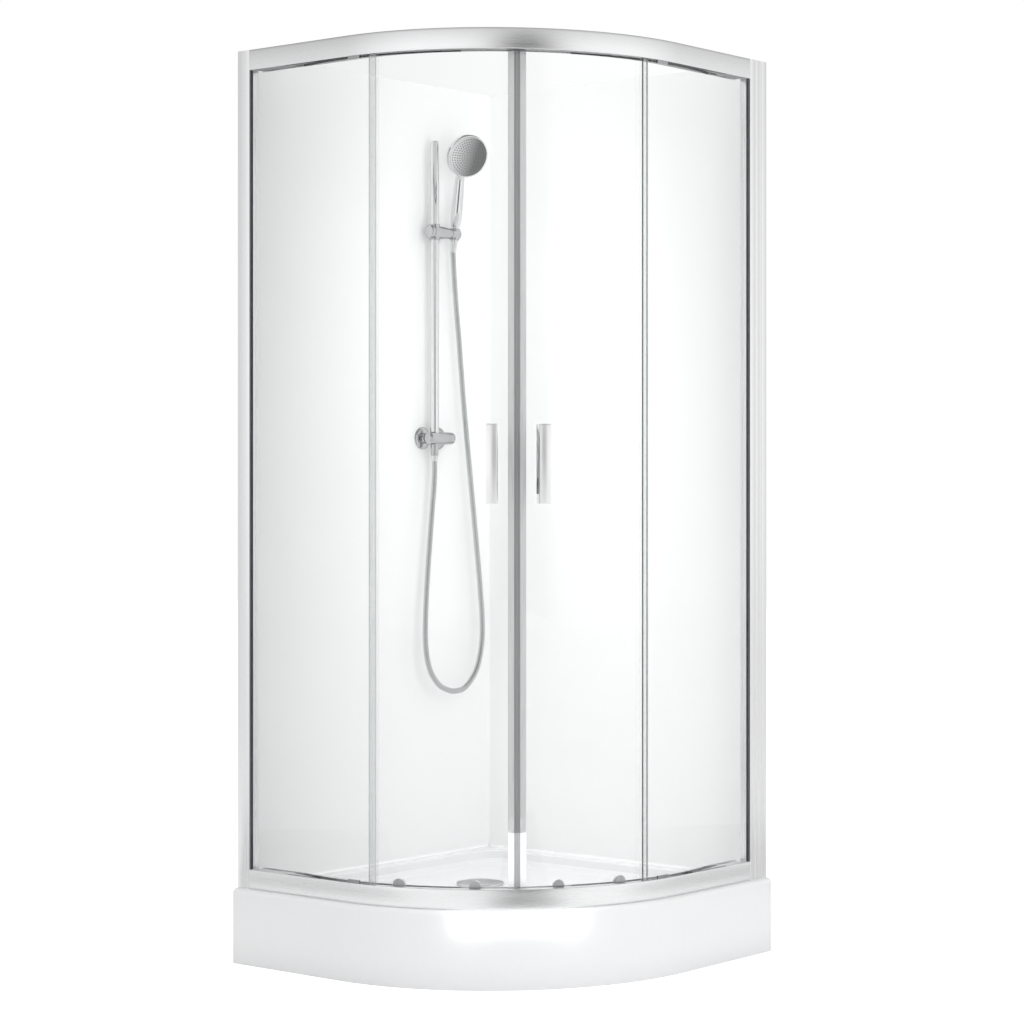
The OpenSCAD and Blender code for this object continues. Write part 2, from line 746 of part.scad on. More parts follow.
module roller_bolt() {
  spacer = glass_half + wheel_gap - side_play;
  cap_from = wheel_mid + wheel_w / 2 + side_play;
  difference() {
    outwards() union() {
      rod(head_r, glass_half + touch, glass_half + head_t);
      rod(bolt_r, -glass_half - eps, glass_half + eps);
      rod(cap_r, -spacer, -glass_half - touch);
      rod(axle_r, -cap_from - eps / 2, -spacer + eps / 2);
      rod(cap_r, -cap_from - cap_t, -cap_from);
    }
    block([glass_half + head_t / 2, -head_slot / 2, -head_r],
      [glass_half + head_t + eps, head_slot / 2, head_r]);
  }
}
module left_roller_bolts() { color("#cfd2d4") site() left_hand() roller_places(left_face) roller_bolt(); }
module right_roller_bolts() { color("#cfd2d4") site() roller_places(right_face) roller_bolt(); }

// Roller wheels: each turns on its own bolt
wheel_edge = 1;
module wheel(angle, z) {
  half = wheel_w / 2;
  bore = axle_r + axle_fit;
  on_door(angle, z) translate([-wheel_mid, 0, 0]) outwards() rotate_extrude()
    polygon([[bore, -half], [wheel_r - wheel_edge, -half], [wheel_r, -half + wheel_edge],
      [wheel_r, half - wheel_edge], [wheel_r - wheel_edge, half], [bore, half]]);
}
module left_top_near_wheel() { color("#eceded") site() left_hand() wheel(near_angle, top_axle_z); }
module left_top_far_wheel() {
  color("#eceded") site() left_hand() wheel(far_angle(left_face), top_axle_z);
}
module left_bottom_near_wheel() { color("#eceded") site() left_hand() wheel(near_angle, bottom_axle_z); }
module left_bottom_far_wheel() {
  color("#eceded") site() left_hand() wheel(far_angle(left_face), bottom_axle_z);
}
module right_top_near_wheel() { color("#eceded") site() wheel(near_angle, top_axle_z); }
module right_top_far_wheel() {
  color("#eceded") site() wheel(far_angle(right_face), top_axle_z);
}
module right_bottom_near_wheel() { color("#eceded") site() wheel(near_angle, bottom_axle_z); }
module right_bottom_far_wheel() {
  color("#eceded") site() wheel(far_angle(right_face), bottom_axle_z);
}

// Mixer on the left wall: two rosettes carry a body that lies along the wall
rosette_r = 28.5;
rosette_t = 7;
neck_r = 7;
rosette_at = [-10, 48];
body_from = 27;
body_to = 8;
barrel_to = 58;
knob_to = 64;
socket_bottom = 3;
rail_fit = 0.1;
riser_wall = 1.5;
module at_mixer() { translate([riser_off, -riser_y, mixer_at]) children(); }
module along_wall() { rotate([-90, 0, 0]) children(); }
module from_wall() { rotate([0, -90, 0]) children(); }
module mixer_body() {
  color("#c5c9cc") site() at_mixer() difference() {
    union() {
      along_wall() rotate_extrude() polygon([[0, -body_from], [body_r - 7, -body_from],
        [body_r - 2, -body_from + 2.5], [body_r, -body_from + 8], [body_r, body_to],
        [barrel_r, barrel_to], [0, barrel_to]]);
      for (y = rosette_at) translate([0, y, 0]) from_wall() rod(neck_r, 0, riser_off - panel_t - rosette_t);
      rod(riser_d / 2 - 1.5, -outlet_end, 0);
    }
    rod(riser_d / 2 + rail_fit, socket_bottom, body_r + eps);
  }
}
module mixer_rosettes() {
  color("#ccd0d2") site() for (y = rosette_at)
    translate([panel_t, y - riser_y, mixer_at]) outwards() rotate_extrude()
      polygon([[0, 0], [rosette_r, 0], [rosette_r, 2], [rosette_r - 5, rosette_t], [0, rosette_t]]);
}
module mixer_knob() {
  color("#d3d6d8") site() at_mixer() along_wall() rotate_extrude()
    polygon([[0, barrel_to + near], [barrel_r, barrel_to + near], [barrel_r - 0.6, knob_to - 2],
      [barrel_r - 2, knob_to], [0, knob_to]]);
}
module riser_rail() {
  z0 = mixer_at + socket_bottom + touch;
  z1 = tray_h + riser_top;
  bore = riser_d / 2 - riser_wall;
  color("#ced2d4") site() translate([riser_off, -riser_y, 0]) rotate_extrude()
    polygon([[bore, z0], [riser_d / 2, z0], [riser_d / 2, z1 - riser_wall], [bore, z1], [0, z1],
      [0, z1 - riser_wall], [bore, z1 - 2 * riser_wall]]);
}

// Slider, clamp knob, handset holder and handset
slider_back = 12;
slider_front = holder_reach - holder_half - near;
slider_fit = 0.1;
pin_r = 6;
pin_l = 4;
pin_fit = 0.06;
module at_slider() { translate([riser_off, -riser_y, slider_at]) children(); }
module slider_body() {
  color("#c5c9cc") site() at_slider() difference() {
    union() {
      along_wall() rotate_extrude() polygon([[0, -slider_back], [slider_r, -slider_back],
        [slider_r, slider_back], [holder_r, slider_front], [0, slider_front]]);
      along_wall() rod(pin_r, slider_front - eps, slider_front + pin_l);
    }
    rod(riser_d / 2 + slider_fit, -slider_r - eps, slider_r + eps);
  }
}
module slider_knob() {
  color("#dadddf") site() at_slider() along_wall() rotate_extrude()
    polygon([[0, -slider_back - 12], [slider_r - 2, -slider_back - 12], [slider_r, -slider_back - 10],
      [slider_r, -slider_back - near], [0, -slider_back - near]]);
}
module at_handset() { translate([hand_x, -hand_y, slider_at]) rotate([0, handset_lean, 0]) children(); }
module handset_holder() {
  color("#c5c9cc") site() difference() {
    translate([hand_x, -hand_y, slider_at]) along_wall() rod(holder_r, -holder_half, holder_out);
    at_handset() rod(grip_r + touch, -holder_r * 2, holder_r * 2);
    translate([hand_x, -hand_y, slider_at]) along_wall()
      rod(pin_r + pin_fit, -holder_half - eps, -holder_half + pin_l + eps);
  }
}
neck_z = 20;
grip_end = 18;
swell_r = 14;
slim_r = 11.8;
bend_z = 140;
neck_bend = 25;
neck_l = 23;
head_back = 18;
head_front = 8;
module head_turn() { at_handset() rotate([0, 0, turn]) children(); }
module head_frame() { head_turn() translate([head_off, 0, head_at]) rotate([0, 90 + face_tilt, 0]) children(); }
module handset_body() {
  color("#cdd1d3") site() {
    difference() {
      union() {
        at_handset() rotate_extrude() polygon([[0, -grip_end], [grip_r, -grip_end], [grip_r, neck_z],
          [swell_r - 2.5, neck_z + 2], [swell_r, neck_z + 25], [swell_r, neck_z + 55], [slim_r, bend_z],
          [slim_r - 3, bend_z + 7],
          [0, bend_z + 9]]);
        head_turn() translate([0, 0, bend_z]) rotate([0, neck_bend, 0]) rod(slim_r - 1, -2, neck_l);
        head_frame() rotate_extrude() polygon([[0, -head_back], [head_d / 4, -head_back + 2],
          [head_d / 2 - 8, -head_back + 6], [head_d / 2, -head_back + 12], [head_d / 2, head_front - 2],
          [head_d / 2 - 2, head_front], [0, head_front]]);
      }
      head_frame() rod(head_d / 2 - 5, head_front - 2, head_front + eps);
    }
  }
}
module spray_face() {
  color("#8f9395") site() head_frame() rod(head_d / 2 - 5 - touch, head_front - 2 + touch, head_front + 1);
}
module handset_nut() {
  color("#d3d6d8") site() at_handset() rotate_extrude()
    polygon([[0, -nut_end], [hose_d / 2 + 0.3, -nut_end], [hose_d / 2 + 1.5, -grip_end - touch],
      [0, -grip_end - touch]]);
}
module outlet_nut() {
  color("#d3d6d8") site() at_mixer() rotate_extrude()
    polygon([[0, -outlet_nut_end], [hose_d / 2 + 0.3, -outlet_nut_end],
      [hose_d / 2 + 1.8, -outlet_end - touch], [0, -outlet_end - touch]]);
}

// Hose: a tube swept along a smooth curve through its points
function unit(v) = v / norm(v);
function curve(a, b, c, d, t) =
  ((2 * b) + (c - a) * t + (2 * a - 5 * b + 4 * c - d) * t * t + (3 * b - a - 3 * c + d) * t * t * t) / 2;
function smooth(p) = let (n = len(p))
  concat([for (i = [0:n - 2], s = [0:hose_steps - 1])
    curve(p[max(i - 1, 0)], p[i], p[i + 1], p[min(i + 2, n - 1)], s / hose_steps)], [p[n - 1]]);
function along(p, i) = unit(p[min(i + 1, len(p) - 1)] - p[max(i - 1, 0)]);
module tube(points, r, first, last) {
  p = smooth(points);
  n = len(p);
  side = [1, 0, 0];
  rings = [for (i = [0:n - 1]) let (
      t = i == 0 ? first : i == n - 1 ? last : along(p, i),
      u = unit(cross(t, side)), v = cross(u, t))
    for (k = [0:hose_sides - 1]) p[i] + r * (cos(k * 360 / hose_sides) * v + sin(k * 360 / hose_sides) * u)];
  polyhedron(points = rings, faces = concat(
    [[for (k = [0:hose_sides - 1]) k]],
    [[for (k = [hose_sides - 1:-1:0]) (n - 1) * hose_sides + k]],
    [for (i = [0:n - 2], k = [0:hose_sides - 1]) let (
        a = i * hose_sides + k, b = i * hose_sides + (k + 1) % hose_sides)
      [a, a + hose_sides, b + hose_sides]],
    [for (i = [0:n - 2], k = [0:hose_sides - 1]) let (
        a = i * hose_sides + k, b = i * hose_sides + (k + 1) % hose_sides)
      [a, b + hose_sides, b]]));
}
last = len(HOSE_LOOP) - 1;
join = unit(HOSE_TOP[1] - HOSE_LOOP[last - 1]);
loop_line = [for (i = [0:last]) i < last ? HOSE_LOOP[i] : HOSE_LOOP[i] - near * join];
module hose_loop() { color("#c3c7ca") site() tube(loop_line, hose_d / 2, [0, 0, -1], join); }
module hose_top() {
  color("#c3c7ca") site() tube(HOSE_TOP, hose_d / 2, join, [sin(handset_lean), 0, cos(handset_lean)]);
}

tray();
support_board();
tray_feet();
waste_trap();
trap_gasket();
waste_flange();
drain_cover();
left_panel();
right_panel();
panel_seals();
wall_profiles();
left_post();
right_post();
post_screws();
top_rail();
bottom_rail();
top_track();
bottom_track();
rail_connectors();
left_pane();
right_pane();
pane_gaskets();
pane_seals();
pane_clips();
door_stops();
left_door_glass();
right_door_glass();
left_seal_clip();
right_seal_clip();
left_magnet();
right_magnet();
left_edge_seal();
right_edge_seal();
left_handle();
right_handle();
left_handle_screws();
right_handle_screws();
left_roller_bolts();
right_roller_bolts();
left_top_near_wheel();
left_top_far_wheel();
left_bottom_near_wheel();
left_bottom_far_wheel();
right_top_near_wheel();
right_top_far_wheel();
right_bottom_near_wheel();
right_bottom_far_wheel();
mixer_body();
mixer_rosettes();
mixer_knob();
riser_rail();
slider_body();
slider_knob();
handset_holder();
handset_body();
spray_face();
outlet_nut();
handset_nut();
hose_loop();
hose_top();
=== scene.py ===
import math
import bpy
import bmesh
import numpy as np
from mathutils import Vector, Matrix


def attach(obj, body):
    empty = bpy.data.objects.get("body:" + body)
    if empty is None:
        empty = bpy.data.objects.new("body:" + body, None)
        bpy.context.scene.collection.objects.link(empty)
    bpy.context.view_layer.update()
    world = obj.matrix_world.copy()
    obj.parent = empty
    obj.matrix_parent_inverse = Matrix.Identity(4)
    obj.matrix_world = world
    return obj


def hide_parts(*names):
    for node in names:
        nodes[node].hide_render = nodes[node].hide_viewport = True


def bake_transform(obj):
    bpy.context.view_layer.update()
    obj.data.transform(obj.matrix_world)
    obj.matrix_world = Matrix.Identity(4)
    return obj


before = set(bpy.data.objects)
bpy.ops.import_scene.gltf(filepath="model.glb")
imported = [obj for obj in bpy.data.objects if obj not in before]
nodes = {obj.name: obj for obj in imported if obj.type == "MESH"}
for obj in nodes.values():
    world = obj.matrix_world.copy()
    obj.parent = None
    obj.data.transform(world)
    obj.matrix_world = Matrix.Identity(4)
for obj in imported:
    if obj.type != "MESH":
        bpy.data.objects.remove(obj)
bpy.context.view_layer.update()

scene = bpy.context.scene

# Sizes, in millimetres from the room corner, as in part.scad
SIDE = 900
ARC = 350
FRAME_R = 535
FRAME_SIDE = 885
RAIL_IN = FRAME_R - 46
TRAY_H = 175
FLOOR_Z = 145
TOP = 2125
TRACK_R = 565
TRACK_C = ARC - 60 / math.sqrt(2)
TRACK_SPAN = 60.6
GH = 2.5
PANE_OUT = FRAME_R - 3.5
PANE_IN = PANE_OUT - 5
LEFT_FACE = 39
RIGHT_FACE = 66
WALL_PROFILE = 28
SEAL_LOW = 221.5
SEAL_HIGH = 2076.5
MM = 0.001


def P(x, y, z):
    return ((x - 450) * MM, (y + 450) * MM, z * MM)


def track_deg(length):
    return math.degrees(length / TRACK_R)


def arc_deg(length, r):
    return math.degrees(length / r)


def on_track(a):
    return a - math.degrees(math.asin(60 * math.sin(math.radians(a)) / TRACK_R))


# Both fixed panes have one width, so the right one's free edge follows its wider post
FACES = {"left": LEFT_FACE, "right": RIGHT_FACE}
EDGE = {side: -9 - arc_deg(face - LEFT_FACE, PANE_IN) for side, face in FACES.items()}
DOOR_FROM = track_deg(14)
DOOR_TO = {side: on_track(edge + 45) + track_deg(25) for side, edge in EDGE.items()}
NEAR_AT = track_deg(93)
FAR_AT = {side: end - track_deg(75) for side, end in DOOR_TO.items()}


# Camera: level, turned a little to the left of the enclosure and shifted back onto it
VIEW_AZ = math.radians(37.91)
BACK = Vector((math.sin(VIEW_AZ), -math.cos(VIEW_AZ), 0))
RIGHT = Vector((math.cos(VIEW_AZ), math.sin(VIEW_AZ), 0))
cam_data = bpy.data.cameras.new("camera")
cam = bpy.data.objects.new("camera", cam_data)
scene.collection.objects.link(cam)
cam.location = BACK * 6.0777 + RIGHT * 0.3264 + Vector((0, 0, 1.1211))
cam.rotation_euler = (math.pi / 2, 0, VIEW_AZ)
cam_data.sensor_width = 36
cam_data.lens = 90.553
cam_data.shift_x = -0.1288
cam_data.shift_y = -0.0295
cam_data.clip_start = 0.1
cam_data.clip_end = 100
scene.camera = cam
scene.view_settings.view_transform = "Standard"
scene.cycles.transparent_max_bounces = 32


# Mesh helpers
def add_mesh(name, verts, faces, uvs=None, angle=35, mats=(), face_mat=None):
    """verts in metres in the row frame; faces as index lists; uvs per face corner."""
    me = bpy.data.meshes.new(name)
    me.from_pydata([tuple(v) for v in verts], [], faces)
    if uvs is not None:
        layer = me.uv_layers.new(name="UVMap")
        flat = [c for f in uvs for c in f]
        for i, c in enumerate(flat):
            layer.data[i].uv = c
    obj = bpy.data.objects.new(name, me)
    scene.collection.objects.link(obj)
    for m in mats:
        me.materials.append(m)
    if face_mat is not None:
        me.polygons.foreach_set("material_index", face_mat)
    bm = bmesh.new()
    bm.from_mesh(me)
    bmesh.ops.remove_doubles(bm, verts=bm.verts, dist=1e-6)
    bmesh.ops.recalc_face_normals(bm, faces=bm.faces)
    sharp = math.radians(angle)
    for f in bm.faces:
        f.smooth = True
    for e in bm.edges:
        e.smooth = not (len(e.link_faces) != 2 or e.calc_face_angle(0) > sharp)
    bm.to_mesh(me)
    bm.free()
    return obj


def mm_verts(points):
    return [P(*p) for p in points]


def mirrored(points):
    """The other hand, in corner-frame millimetres."""
    return [(-y, -x, z) for x, y, z in points]


def round_poly(points, radius, n=3):
    """Closed polygon with rounded corners; radius is a number or one per corner."""
    out = []
    count = len(points)
    for i, p in enumerate(points):
        r = radius[i] if isinstance(radius, (list, tuple)) else radius
        a = Vector(points[i - 1]) - Vector(p)
        b = Vector(points[(i + 1) % count]) - Vector(p)
        la, lb = a.length, b.length
        a.normalize()
        b.normalize()
        turn = math.pi - a.angle(b)
        if r <= 0 or turn < 0.02:
            out.append(tuple(p))
            continue
        cut = min(r * math.tan(turn / 2), 0.45 * la, 0.45 * lb)
        r = cut / math.tan(turn / 2)
        s = Vector(p) + a * cut
        e = Vector(p) + b * cut
        centre = Vector(p) + (a + b).normalized() * math.hypot(r, cut)
        va, vb = s - centre, e - centre
        ang = va.angle(vb)
        for k in range(n + 1):
            t = k / n
            w0 = math.sin((1 - t) * ang) / math.sin(ang)
            w1 = math.sin(t * ang) / math.sin(ang)
            out.append(tuple(centre + va * w0 + vb * w1))
    return out


def loft(rings, closed=False, caps=True, ring_closed=True):
    """Rings of points to verts, faces and uvs in metres along and around."""
    n = len(rings[0])
    verts = [p for r in rings for p in r]
    along = [0.0]
    for a, b in zip(rings, rings[1:]):
        along.append(along[-1] + (Vector(a[0]) - Vector(b[0])).length * MM)
    around = [0.0]
    for i in range(n):
        around.append(around[-1] + (Vector(rings[0][i]) - Vector(rings[0][(i + 1) % n])).length * MM)
    faces, uvs = [], []
    last = len(rings) if closed else len(rings) - 1
    width = n if ring_closed else n - 1
    for i in range(last):
        j = (i + 1) % len(rings)
        u0 = along[i]
        u1 = along[i + 1] if i + 1 < len(along) else along[i] + 0.01
        for k in range(width):
            m = (k + 1) % n
            faces.append([i * n + k, i * n + m, j * n + m, j * n + k])
            uvs.append([(u0, around[k]), (u0, around[k + 1]), (u1, around[k + 1]), (u1, around[k])])
    if caps and not closed and ring_closed:
        base = (len(rings) - 1) * n
        faces.append(list(range(n))[::-1])
        uvs.append([(rings[0][k][0] * MM, rings[0][k][2] * MM) for k in range(n)][::-1])
        faces.append([base + k for k in range(n)])
        uvs.append([(rings[-1][k][0] * MM, rings[-1][k][2] * MM) for k in range(n)])
    return verts, faces, uvs


def stations_arc(a0, a1, step=1.0):
    n = max(1, int(round(abs(a1 - a0) / step)))
    out = []
    for i in range(n + 1):
        a = math.radians(a0 + (a1 - a0) * i / n)
        out.append(((ARC, -ARC), (math.cos(a), math.sin(a))))
    return out


def stations_track(a0, a1, step=1.0):
    n = max(1, int(round(abs(a1 - a0) / step)))
    out = []
    for i in range(n + 1):
        a = math.radians(a0 + (a1 - a0) * i / n - 45)
        out.append(((TRACK_C, -TRACK_C), (math.cos(a), math.sin(a))))
    return out


def stations_round(left_face, right_face, step=1.0):
    out = [((ARC - (ARC - left_face) * k / 4, -ARC), (0, -1)) for k in (4, 3, 2, 1)]
    out += stations_arc(-90, 0, step)
    out += [((ARC, -ARC + (ARC - right_face) * k / 4), (1, 0)) for k in (1, 2, 3, 4)]
    return out


def sweep(name, section, stations, mats, angle=35, mirror=False):
    """Section of (radius, height) carried along the stations."""
    rings = []
    for o, d in stations:
        rings.append([(o[0] + d[0] * r, o[1] + d[1] * r, z) for r, z in section])
    if mirror:
        rings = [mirrored(r) for r in rings]
    verts, faces, uvs = loft(rings)
    return add_mesh(name, mm_verts(verts), faces, uvs, angle, mats)


def lathe(profile, place, n=48, closed=False):
    """Profile of (radius, height) about the local Z of place, a 4x4 in corner-frame millimetres."""
    rings = []
    for r, z in profile:
        rings.append([(r * math.cos(2 * math.pi * k / n), r * math.sin(2 * math.pi * k / n), z) for k in range(n)])
    rings = [[tuple(place @ Vector(p)) for p in ring] for ring in rings]
    return loft(rings, closed=closed)


def join_parts(parts):
    verts, faces, uvs = [], [], []
    for v, f, u in parts:
        base = len(verts)
        verts += v
        faces += [[i + base for i in face] for face in f]
        uvs += u
    return verts, faces, uvs


def add_parts(name, parts, mats, angle=35, mirror=False):
    verts, faces, uvs = join_parts(parts)
    if mirror:
        verts = mirrored(verts)
    return add_mesh(name, mm_verts(verts), faces, uvs, angle, mats)


def move(x, y, z):
    return Matrix.Translation((x, y, z))


def turn(axis, deg):
    return Matrix.Rotation(math.radians(deg), 4, axis)


ALONG = turn("X", -90)
OUTWARDS = turn("Y", 90)


def on_door(angle, z):
    a = angle - 45
    return (move(TRACK_C, -TRACK_C, z) @ turn("Z", a) @ move(TRACK_R, 0, 0))


def curve_profile(points, n=4):
    """Smooths a lathe profile: Catmull-Rom through points, n steps each."""
    out = []
    m = len(points)
    for i in range(m - 1):
        a, b = points[max(i - 1, 0)], points[i]
        c, d = points[i + 1], points[min(i + 2, m - 1)]
        for s in range(n):
            t = s / n
            out.append(tuple(0.5 * (2 * b[k] + (c[k] - a[k]) * t + (2 * a[k] - 5 * b[k] + 4 * c[k] - d[k]) * t * t
                                    + (3 * b[k] - a[k] - 3 * c[k] + d[k]) * t ** 3) for k in range(len(b))))
    out.append(tuple(points[-1]))
    return out


# Materials
def material(name, color, rough, metal=0.0, coat=0.0, spec=0.5):
    m = bpy.data.materials.new(name)
    m.use_nodes = True
    b = m.node_tree.nodes["Principled BSDF"]
    b.inputs["Base Color"].default_value = (*color, 1)
    b.inputs["Roughness"].default_value = rough
    b.inputs["Metallic"].default_value = metal
    b.inputs["Coat Weight"].default_value = coat
    b.inputs["Specular IOR Level"].default_value = spec
    return m


def node(m, kind, **inputs):
    n = m.node_tree.nodes.new(kind)
    for k, v in inputs.items():
        n.inputs[k.replace("_", " ")].default_value = v
    return n


def link(m, a, b):
    m.node_tree.links.new(a, b)


def coords(m, which, scale):
    tc = m.node_tree.nodes.new("ShaderNodeTexCoord")
    mp = m.node_tree.nodes.new("ShaderNodeMapping")
    mp.inputs["Scale"].default_value = scale
    link(m, tc.outputs[which], mp.inputs["Vector"])
    return mp.outputs["Vector"]


def noise(m, vector, scale=5.0, detail=4.0, rough=0.5):
    n = node(m, "ShaderNodeTexNoise", Scale=scale, Detail=detail, Roughness=rough)
    link(m, vector, n.inputs["Vector"])
    return n.outputs["Fac"]


def remap(m, value, low, high, a=0.0, b=1.0):
    n = m.node_tree.nodes.new("ShaderNodeMapRange")
    n.inputs["From Min"].default_value = a
    n.inputs["From Max"].default_value = b
    n.inputs["To Min"].default_value = low
    n.inputs["To Max"].default_value = high
    link(m, value, n.inputs["Value"])
    return n.outputs["Result"]


def vary_color(m, value, dark, light):
    n = m.node_tree.nodes.new("ShaderNodeMix")
    n.data_type = "RGBA"
    n.inputs["A"].default_value = (*dark, 1)
    n.inputs["B"].default_value = (*light, 1)
    link(m, value, n.inputs["Factor"])
    link(m, n.outputs["Result"], m.node_tree.nodes["Principled BSDF"].inputs["Base Color"])
    return n


def bump(m, value, distance, strength=1.0):
    n = m.node_tree.nodes.new("ShaderNodeBump")
    n.inputs["Distance"].default_value = distance
    n.inputs["Strength"].default_value = strength
    link(m, value, n.inputs["Height"])
    link(m, n.outputs["Normal"], m.node_tree.nodes["Principled BSDF"].inputs["Normal"])
    return n


def principled(m):
    return m.node_tree.nodes["Principled BSDF"]


def plain(name, light, dark, rough, metal=0.0, scale=(60, 60, 60), which="Object", coat=0.0, spread=0.06,
          depth=0.00004):
    """Material whose colour, roughness and bump all vary a little."""
    m = material(name, light, rough, metal, coat)
    v = coords(m, which, scale)
    n1 = noise(m, v, 1.0, 5.0)
    vary_color(m, remap(m, n1, 0, 1, 0.3, 0.7), dark, light)
    link(m, remap(m, n1, rough - spread, rough + spread, 0.3, 0.7), principled(m).inputs["Roughness"])
    if depth > 0:
        bump(m, n1, depth)
    return m


acrylic = plain("white_acrylic", (0.875, 0.88, 0.887), (0.865, 0.871, 0.879), 0.2, coat=0.15, scale=(90, 90, 90),
                spread=0.02, depth=0.000004)
panel_white = plain("panel_white", (0.96, 0.962, 0.963), (0.955, 0.957, 0.958), 0.55, scale=(160, 160, 160),
                    spread=0.03, depth=0.000004)
# the left panel's white, with painted shade graded along it by fade below
panel_white_painted_shade = plain("panel_white_painted_shade", (0.96, 0.962, 0.963), (0.955, 0.957, 0.958), 0.55, scale=(160, 160, 160),
                   spread=0.03, depth=0.000004)


def fade(m, axis, start, end, first, last):
    """Tones the base colour evenly along one local axis, from first at start to last at end, in metres; used here to
    paint shade.
    """
    tc = m.node_tree.nodes.new("ShaderNodeTexCoord")
    xyz = m.node_tree.nodes.new("ShaderNodeSeparateXYZ")
    link(m, tc.outputs["Object"], xyz.inputs["Vector"])
    level = remap(m, xyz.outputs[axis], first, last, start, end)
    tone = m.node_tree.nodes.new("ShaderNodeVectorMath")
    tone.operation = "SCALE"
    base = principled(m).inputs["Base Color"]
    link(m, base.links[0].from_socket, tone.inputs[0])
    link(m, level, tone.inputs["Scale"])
    link(m, tone.outputs["Vector"], base)


def brushed(name, light, dark, rough, which, scale):
    m = material(name, light, rough, 1.0)
    v = coords(m, which, scale)
    fine = noise(m, v, 1.0, 3.0)
    vary_color(m, remap(m, fine, 0, 1, 0.3, 0.7), dark, light)
    link(m, remap(m, fine, rough - 0.05, rough + 0.05, 0.3, 0.7), principled(m).inputs["Roughness"])
    bump(m, fine, 0.000012)
    principled(m).inputs["Anisotropic"].default_value = 0.3
    return m


alu_run = brushed("satin_aluminium_rail", (0.84, 0.843, 0.85), (0.80, 0.803, 0.81), 0.29, "UV", (8, 1400, 1))
alu_post = brushed("satin_aluminium_post", (0.9, 0.903, 0.91), (0.86, 0.863, 0.87), 0.26, "Object", (1400, 1400, 8))
alu_part = brushed("satin_aluminium_part", (0.84, 0.843, 0.85), (0.80, 0.803, 0.81), 0.34, "Object", (900, 900, 12))
alu_pull = brushed("satin_aluminium_pull", (0.95, 0.953, 0.96), (0.92, 0.923, 0.93), 0.34, "Object", (900, 900, 12))
# dark copy of the rail aluminium for the parts inside the top rail: painted shade
alu_shaded_top = brushed("aluminium_painted_shade_top", (0.30, 0.303, 0.31), (0.26, 0.263, 0.27), 0.4, "Object", (900, 900, 12))
chrome = plain("polished_chrome", (0.8, 0.805, 0.81), (0.77, 0.775, 0.78), 0.05, 1.0, scale=(60, 60, 60),
               spread=0.01, depth=0.0)
tube_chrome = plain("polished_chrome_tube", (0.82, 0.825, 0.83), (0.8, 0.805, 0.81), 0.05, 1.0, scale=(60, 60, 60),
                    spread=0.01, depth=0.0)
satin_chrome = plain("satin_chrome", (0.56, 0.565, 0.572), (0.52, 0.525, 0.53), 0.09, 1.0, scale=(60, 60, 60),
                     spread=0.03, depth=0.000002)
cap_chrome = plain("dull_chrome", (0.42, 0.425, 0.43), (0.36, 0.365, 0.37), 0.2, 1.0, scale=(60, 60, 60),
                   spread=0.03, depth=0.000002)
for m in (chrome, tube_chrome, satin_chrome):
    principled(m).inputs["Specular Tint"].default_value = (0.6, 0.6, 0.6, 1)
zinc = plain("zinc_steel", (0.62, 0.63, 0.64), (0.5, 0.51, 0.52), 0.38, 1.0, scale=(120, 120, 120))
nylon = plain("white_nylon", (0.83, 0.83, 0.81), (0.78, 0.78, 0.76), 0.42, scale=(150, 150, 150))
rubber = plain("dark_rubber", (0.05, 0.052, 0.054), (0.03, 0.031, 0.033), 0.6, scale=(200, 200, 200))
gasket_grey = plain("gasket_grey", (0.12, 0.125, 0.13), (0.08, 0.084, 0.088), 0.45, scale=(200, 200, 30))
magnet_grey = plain("magnet_grey", (0.3, 0.305, 0.31), (0.25, 0.255, 0.26), 0.4, scale=(300, 300, 6))
grey_plastic = plain("grey_plastic", (0.3, 0.305, 0.31), (0.25, 0.255, 0.26), 0.5, scale=(150, 150, 150))
nozzle_face_painted_shade = plain("nozzle_face_painted_shade", (0.82, 0.825, 0.83), (0.79, 0.795, 0.8), 0.42, scale=(220, 220, 220))
nozzle_tip = plain("nozzle_tip", (0.2, 0.205, 0.21), (0.17, 0.175, 0.18), 0.5, scale=(220, 220, 220))
trap_white = plain("trap_plastic", (0.7, 0.71, 0.72), (0.65, 0.66, 0.67), 0.45, scale=(40, 40, 40))
wood = plain("plywood", (0.62, 0.45, 0.27), (0.5, 0.34, 0.19), 0.6, scale=(4, 60, 60), depth=0.0002)
# painted shade: the left wall panel darkens towards its front end by the left post
fade(panel_white_painted_shade, "Y", -0.42, 0.2, 0.92, 1.0)
# painted shade: the spray face darkens steeply across one side, almost to black
fade(nozzle_face_painted_shade, "Y", 0.225, 0.282, 0.9, 0.12)
hose_metal = plain("hose_metal", (0.56, 0.565, 0.57), (0.5, 0.505, 0.51), 0.2, 1.0, scale=(200, 200, 200),
                   depth=0.00001)


